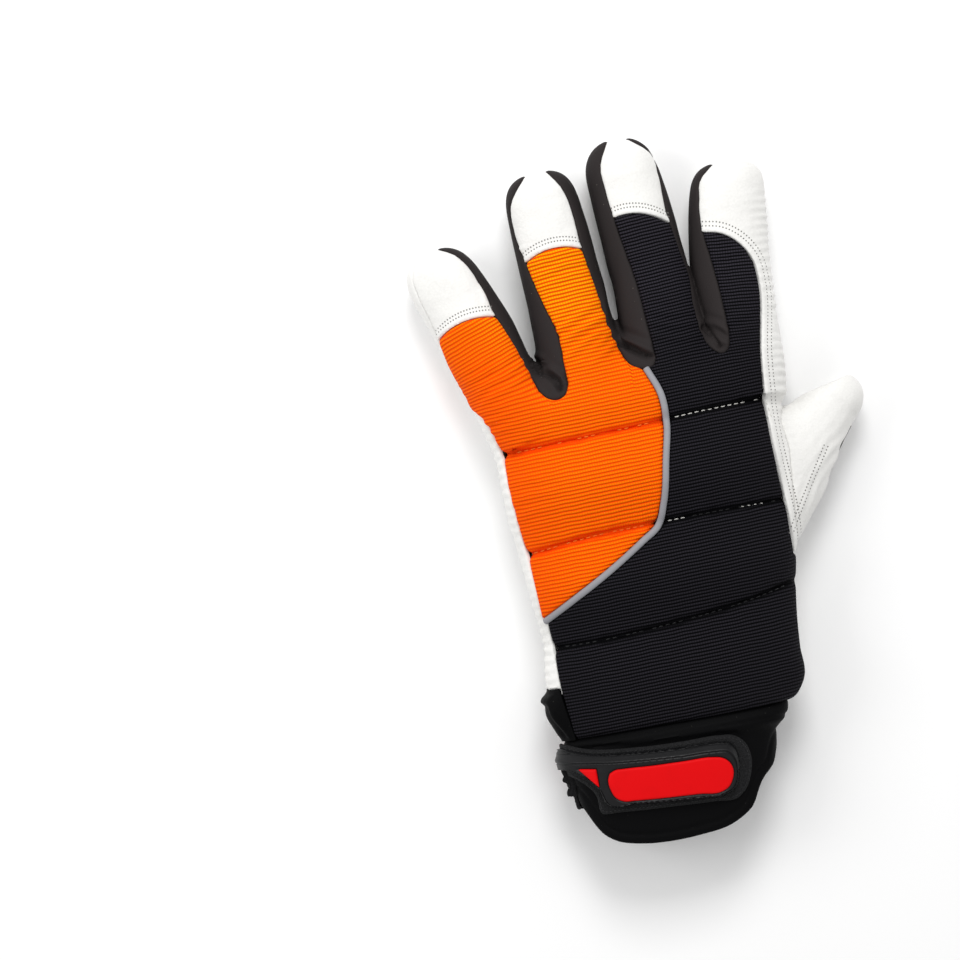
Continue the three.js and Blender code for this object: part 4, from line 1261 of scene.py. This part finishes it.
laid("wrist_hook_strap", "strap", "wrist_strap", band_depth,
     lambda p: STRAP_TOP + 0.15 * noise(p, 1.1, 22) - roll(band_depth(p), 0.6), GAP, lift=STRAP_TOP,
     end=frayed(STRAP_END, BACK - STRAP, BACK + STRAP))
back_tab, back_panel, back_lozenge = closed(BACK_TAB), closed(BACK_PANEL), closed(BACK_LOZENGE)
back_wedge, palm_tab, palm_panel, palm_badge, palm_wedge = (
    plan(ring) for ring in (BACK_WEDGE, PALM_TAB, PALM_PANEL, PALM_BADGE, PALM_WEDGE))
laid("back_moulded_tab", "rubber", "back_tab", on_side(1, back_tab),
     tab_height(back_tab, back_panel, [back_lozenge, back_wedge]), TAB_LOW, 2)
laid("back_red_lozenge", "red_rubber", "back_lozenge", on_side(1, back_lozenge),
     stepped(INLAY, back_lozenge), INLAY_LOW, 1)
laid("back_red_wedge", "red_rubber", "back_wedge", on_side(1, back_wedge),
     stepped(INLAY, back_wedge), INLAY_LOW, 1)
laid("palm_moulded_tab", "rubber", "palm_tab", on_side(-1, palm_tab),
     tab_height(palm_tab, palm_panel, [palm_badge, palm_wedge]), TAB_LOW, 1)
laid("palm_cream_badge", "cream_rubber", "palm_badge", on_side(-1, palm_badge),
     stepped(BADGE, palm_badge), INLAY_LOW, 1)
laid("palm_red_wedge", "red_rubber", "palm_wedge", on_side(-1, palm_wedge),
     stepped(INLAY, palm_wedge), INLAY_LOW, 1)


# Round pieces along a line
def top_of(xy):
    """Points of the back of the glove over points of the plan."""
    low, high = np.full(len(xy), BACK - 6), np.full(len(xy), 48.0)
    for _ in range(22):
        middle = (low + high) / 2
        out = glove_form(np.column_stack([xy, middle])) > 0
        low, high = np.where(out, low, middle), np.where(out, middle, high)
    return np.column_stack([xy, (low + high) / 2])


def tube(line, normal, wide, tall, sides=14):
    """Skin of an oval section carried along a line, closed at both ends."""
    way = np.gradient(line, axis=0)
    way /= np.linalg.norm(way, axis=1, keepdims=True)
    aside = np.cross(way, normal)
    aside /= np.linalg.norm(aside, axis=1, keepdims=True)
    turn = np.arange(sides) * 2 * np.pi / sides
    wide, tall = (np.broadcast_to(v, len(line))[:, None, None] for v in (wide, tall))
    ring = (line[:, None] + aside[:, None] * np.cos(turn)[None, :, None] * wide
            + normal[:, None] * np.sin(turn)[None, :, None] * tall)
    count = len(line)
    i, j = np.meshgrid(np.arange(count - 1), np.arange(sides), indexing="ij")
    a, b = i * sides + j, i * sides + (j + 1) % sides
    c, d = a + sides, b + sides
    sheets = [np.stack([a, d, c], -1).reshape(-1, 3), np.stack([a, b, d], -1).reshape(-1, 3)]
    fan = np.arange(1, sides - 1)
    end = (count - 1) * sides
    sheets.append(np.stack([np.zeros_like(fan), fan + 1, fan], 1))
    sheets.append(np.stack([np.full_like(fan, end), end + fan, end + fan + 1], 1))
    return ring.reshape(-1, 3), np.concatenate(sheets)


trim = flow(plan(PIPING_LINE), 0.5)
trim_base = top_of(trim)
trim_normal = unit_slope(trim_base)
near = np.abs(quilt_distance(trim_base)).min(1)
trim_base += trim_normal * (0.1 - 0.9 * np.exp(-(near / 2.2) ** 2))[:, None]
piece("grey_piping", *tube(trim_base, trim_normal, 1.25, 0.95), "piping", ["piping"],
      low=np.zeros(len(trim) * 14))

# Stitches
from mathutils.bvhtree import BVHTree

skin_points, skin_triangles = many(covers)
SKIN = BVHTree.FromPolygons(skin_points.tolist(), skin_triangles.tolist(), all_triangles=True)


def drape(xy, side=1):
    """Points of the finished skin over or under points of the plan, with their outward directions."""
    found, outward = [], []
    for x, y in xy:
        hit, normal, _, _ = SKIN.ray_cast(Vector((x, y, 80.0 * side)), Vector((0, 0, -side)))
        found.append(hit if hit else (np.nan,) * 3)
        outward.append(normal if hit else (np.nan,) * 3)
    outward = np.array(outward, float)
    facing = np.sign(outward[:, 2:3]) * side
    return np.array(found, float), outward * np.where(facing == 0, 1, facing)


def spaced(line, pitch):
    """Points of a plan line at an even pitch."""
    line = np.asarray(line, float)
    run = np.concatenate([[0], np.cumsum(np.linalg.norm(np.diff(line, axis=0), axis=1))])
    at = np.arange(0, run[-1], pitch)
    return np.stack([np.interp(at, run, line[:, k]) for k in (0, 1)], 1)


def beside(line, offset):
    """A plan line moved to its right."""
    line = np.asarray(line, float)
    way = np.gradient(line, axis=0)
    way /= np.maximum(np.linalg.norm(way, axis=1, keepdims=True), 1e-9)
    return line + np.stack([way[:, 1], -way[:, 0]], 1) * offset


# A stitch dives in at both ends and swells between them
STITCH_SHAPE = table("along rise thick", [
    (0, -0.22, 0.6), (0.2, 0.06, 1), (0.5, 0.16, 1.05), (0.8, 0.06, 1), (1, -0.22, 0.6),
])


def stitch_run(line, pitch=2.2, share=0.72, radius=0.2, side=1, keep=1.0):
    """Skins of the stitches along a plan line."""
    starts = spaced(line, pitch)
    ends = np.roll(starts, -1, 0)
    rng = np.random.default_rng(SEED + len(starts))
    made = []
    for a, b in zip(starts[:-1], ends[:-1]):
        if rng.random() > keep:
            continue
        way = STITCH_SHAPE["along"][:, None] * share * (b - a)
        at, normal = drape(a + way, side)
        if np.isnan(at).any() or np.ptp(at[:, 2]) > pitch:
            continue
        axis = normal.mean(0)
        normal = np.broadcast_to(axis / np.linalg.norm(axis), at.shape)
        line3 = at + normal * STITCH_SHAPE["rise"][:, None] * radius / 0.2
        made.append(tube(line3, normal, radius * STITCH_SHAPE["thick"], radius * STITCH_SHAPE["thick"], 6))
    return made


def hole_run(line, pitch, radius=0.3, side=1):
    """Needle holes along a plan line, as small grey dots on the skin: painted shade inside each hole."""
    made = []
    at, normal = drape(spaced(line, pitch), side)
    turn = np.arange(7) * 2 * np.pi / 7
    fan = np.arange(1, 6)
    for point, up in zip(at, normal):
        if np.isnan(point).any():
            continue
        one = np.cross(up, (0.2, 1, 0.1))
        one /= np.linalg.norm(one)
        other = np.cross(up, one)
        ring = point + up * 0.03 + radius * (np.cos(turn)[:, None] * one + np.sin(turn)[:, None] * other)
        made.append((ring, np.stack([np.zeros_like(fan), fan, fan + 1], 1)))
    return made


def sewn(name, look, slot, runs):
    """One piece of all the stitches in some runs."""
    points, triangles = many([skin for run in runs for skin in run])
    return piece(name, points, triangles, look, (), slot, low=np.zeros(len(points)))


def quilt_line(name, start, end):
    """Part of a quilt line as a plan line."""
    x = np.linspace(start, end, 60)
    return np.stack([x, quilt_height(name, x)], 1)


# Sewn lines, in millimetres of the plan: two across the palm's second layer, one low on the thumb
DIAGONAL_ONE = [(6.7, 63.9), (0.7, 46.8), (-11.2, 25.2), (-26.6, 7.9), (-39.9, -5.7)]
DIAGONAL_TWO = [
    (32.9, 63.4), (23.4, 41.6), (12.8, 26.2), (3.6, 10.8), (-7.3, -0.6), (-15.4, -8.1), (-36.2, -25.2),
]
thumb_seam = flow(plan(THUMB_SEAM[:8]))
strip_line = flow(STRIP_LINE, 1.5)
cap_rows = [hole_run(cap_line(name) + np.array([0, rise]), 1.15)
            for name in ("little", "ring", "middle") for rise in (2.3, 3.7)]
strip_rows = [hole_run(beside(strip_line, -offset), 1.25) for offset in (2.3, 3.9)]
thumb_lower = flow(plan([(0.5, 0.0), (0.545, 0.075), (0.615, 0.185), (0.69, 0.3)]))
sewn("white_stitches", "white_thread", "white_leather", [
    stitch_run(quilt_line("upper", 9.5, 46.5), 2.5, keep=0.95),
    stitch_run([(46.6, 51.5), (47.2, 47), (48, 43)], 2.4),
    stitch_run(quilt_line("middle", 0.5, 12), 2.4, keep=0.9),
    stitch_run(quilt_line("middle", 30, 41), 2.4, keep=0.7),
    *[stitch_run(beside(patch_ring, offset), 2.0, radius=0.16, side=-1) for offset in (1.5, 2.9)],
    *[stitch_run(beside(flow(line), offset), 2.0, radius=0.16, side=-1)
      for line in (DIAGONAL_ONE, DIAGONAL_TWO) for offset in (-0.8, 0.8)],
    *[stitch_run(beside(thumb_seam, offset), 2.0, radius=0.16, side=-1) for offset in (-1.6, -3)],
])
sewn("orange_stitches", "orange_thread", "orange_knit", [
    stitch_run(quilt_line("middle", -50, -4), 2.5, keep=0.8),
    stitch_run(quilt_line("upper", -52, 5), 2.5, keep=0.8),
])
sewn("dark_stitches", "black_thread", "black_knit", [
    stitch_run(quilt_line("lower", -47, 45), 2.5, keep=0.85),
    stitch_run(quilt_line("middle", 12, 46), 2.5, keep=0.8),
    stitch_run(beside(back_band, 1.1), 1.5, radius=0.14),
])
sewn("needle_holes", "needle_holes", "white_leather", [
    *cap_rows, *strip_rows,
    *[hole_run(beside(thumb_lower, -offset), 1.3) for offset in (2.2, 3.8)],
])

# Pale floor, soft light and the camera over the glove
FLOOR_HALF = 3.0       # half the floor's side, in metres
floor_mesh = bpy.data.meshes.new("floor")
floor_mesh.from_pydata([(x * FLOOR_HALF, y * FLOOR_HALF, 0) for x, y in ((-1, -1), (1, -1), (1, 1), (-1, 1))],
                       [], [(0, 1, 2, 3)])
floor_look = Look("pale floor", Specular_IOR_Level=0.2)
floor_mesh.materials.append(floor_look.finish(colour("ffffff"), 0.8, floor_look.grain(40), 0.05, 0.05))
floor = placed("floor", floor_mesh)
floor.location.z = -0.0005

world = bpy.data.worlds.new("studio")
world.use_nodes = True
background = world.node_tree.nodes["Background"]
background.inputs["Color"].default_value = (1, 1, 1, 1)
background.inputs["Strength"].default_value = 0.64
bpy.context.scene.world = world
bpy.context.scene.view_settings.view_transform = "Standard"


GLOVE_MIDDLE = Vector((0, 0.02, 0.02))


def softbox(name, place, size, power):
    """A square soft light aimed at the middle of the glove."""
    data = bpy.data.lights.new(name, "AREA")
    data.size = size
    data.energy = power
    made = placed(name, data)
    made.location = place
    made.rotation_mode = "QUATERNION"
    made.rotation_quaternion = (GLOVE_MIDDLE - Vector(place)).to_track_quat("-Z", "Y")


softbox("key", (0.1, 0.7, 0.8), 0.4, 5.2)
softbox("fill", (-0.8, 0.3, 0.7), 0.5, 2.6)

FRAME_CENTRE = Vector((-62.3, 41.0, 25.0)) * MM
CAMERA_HEIGHT = 1.2    # over the middle of the frame, in metres
CAMERA_TURN = math.radians(-10)
camera_data = bpy.data.cameras.new("camera")
camera_data.sensor_width = 36
camera_data.lens = 121.6
camera = placed("camera", camera_data)
camera.location = FRAME_CENTRE + Vector((0, 0, CAMERA_HEIGHT))
camera.rotation_euler = (0, 0, CAMERA_TURN)
bpy.context.scene.camera = camera
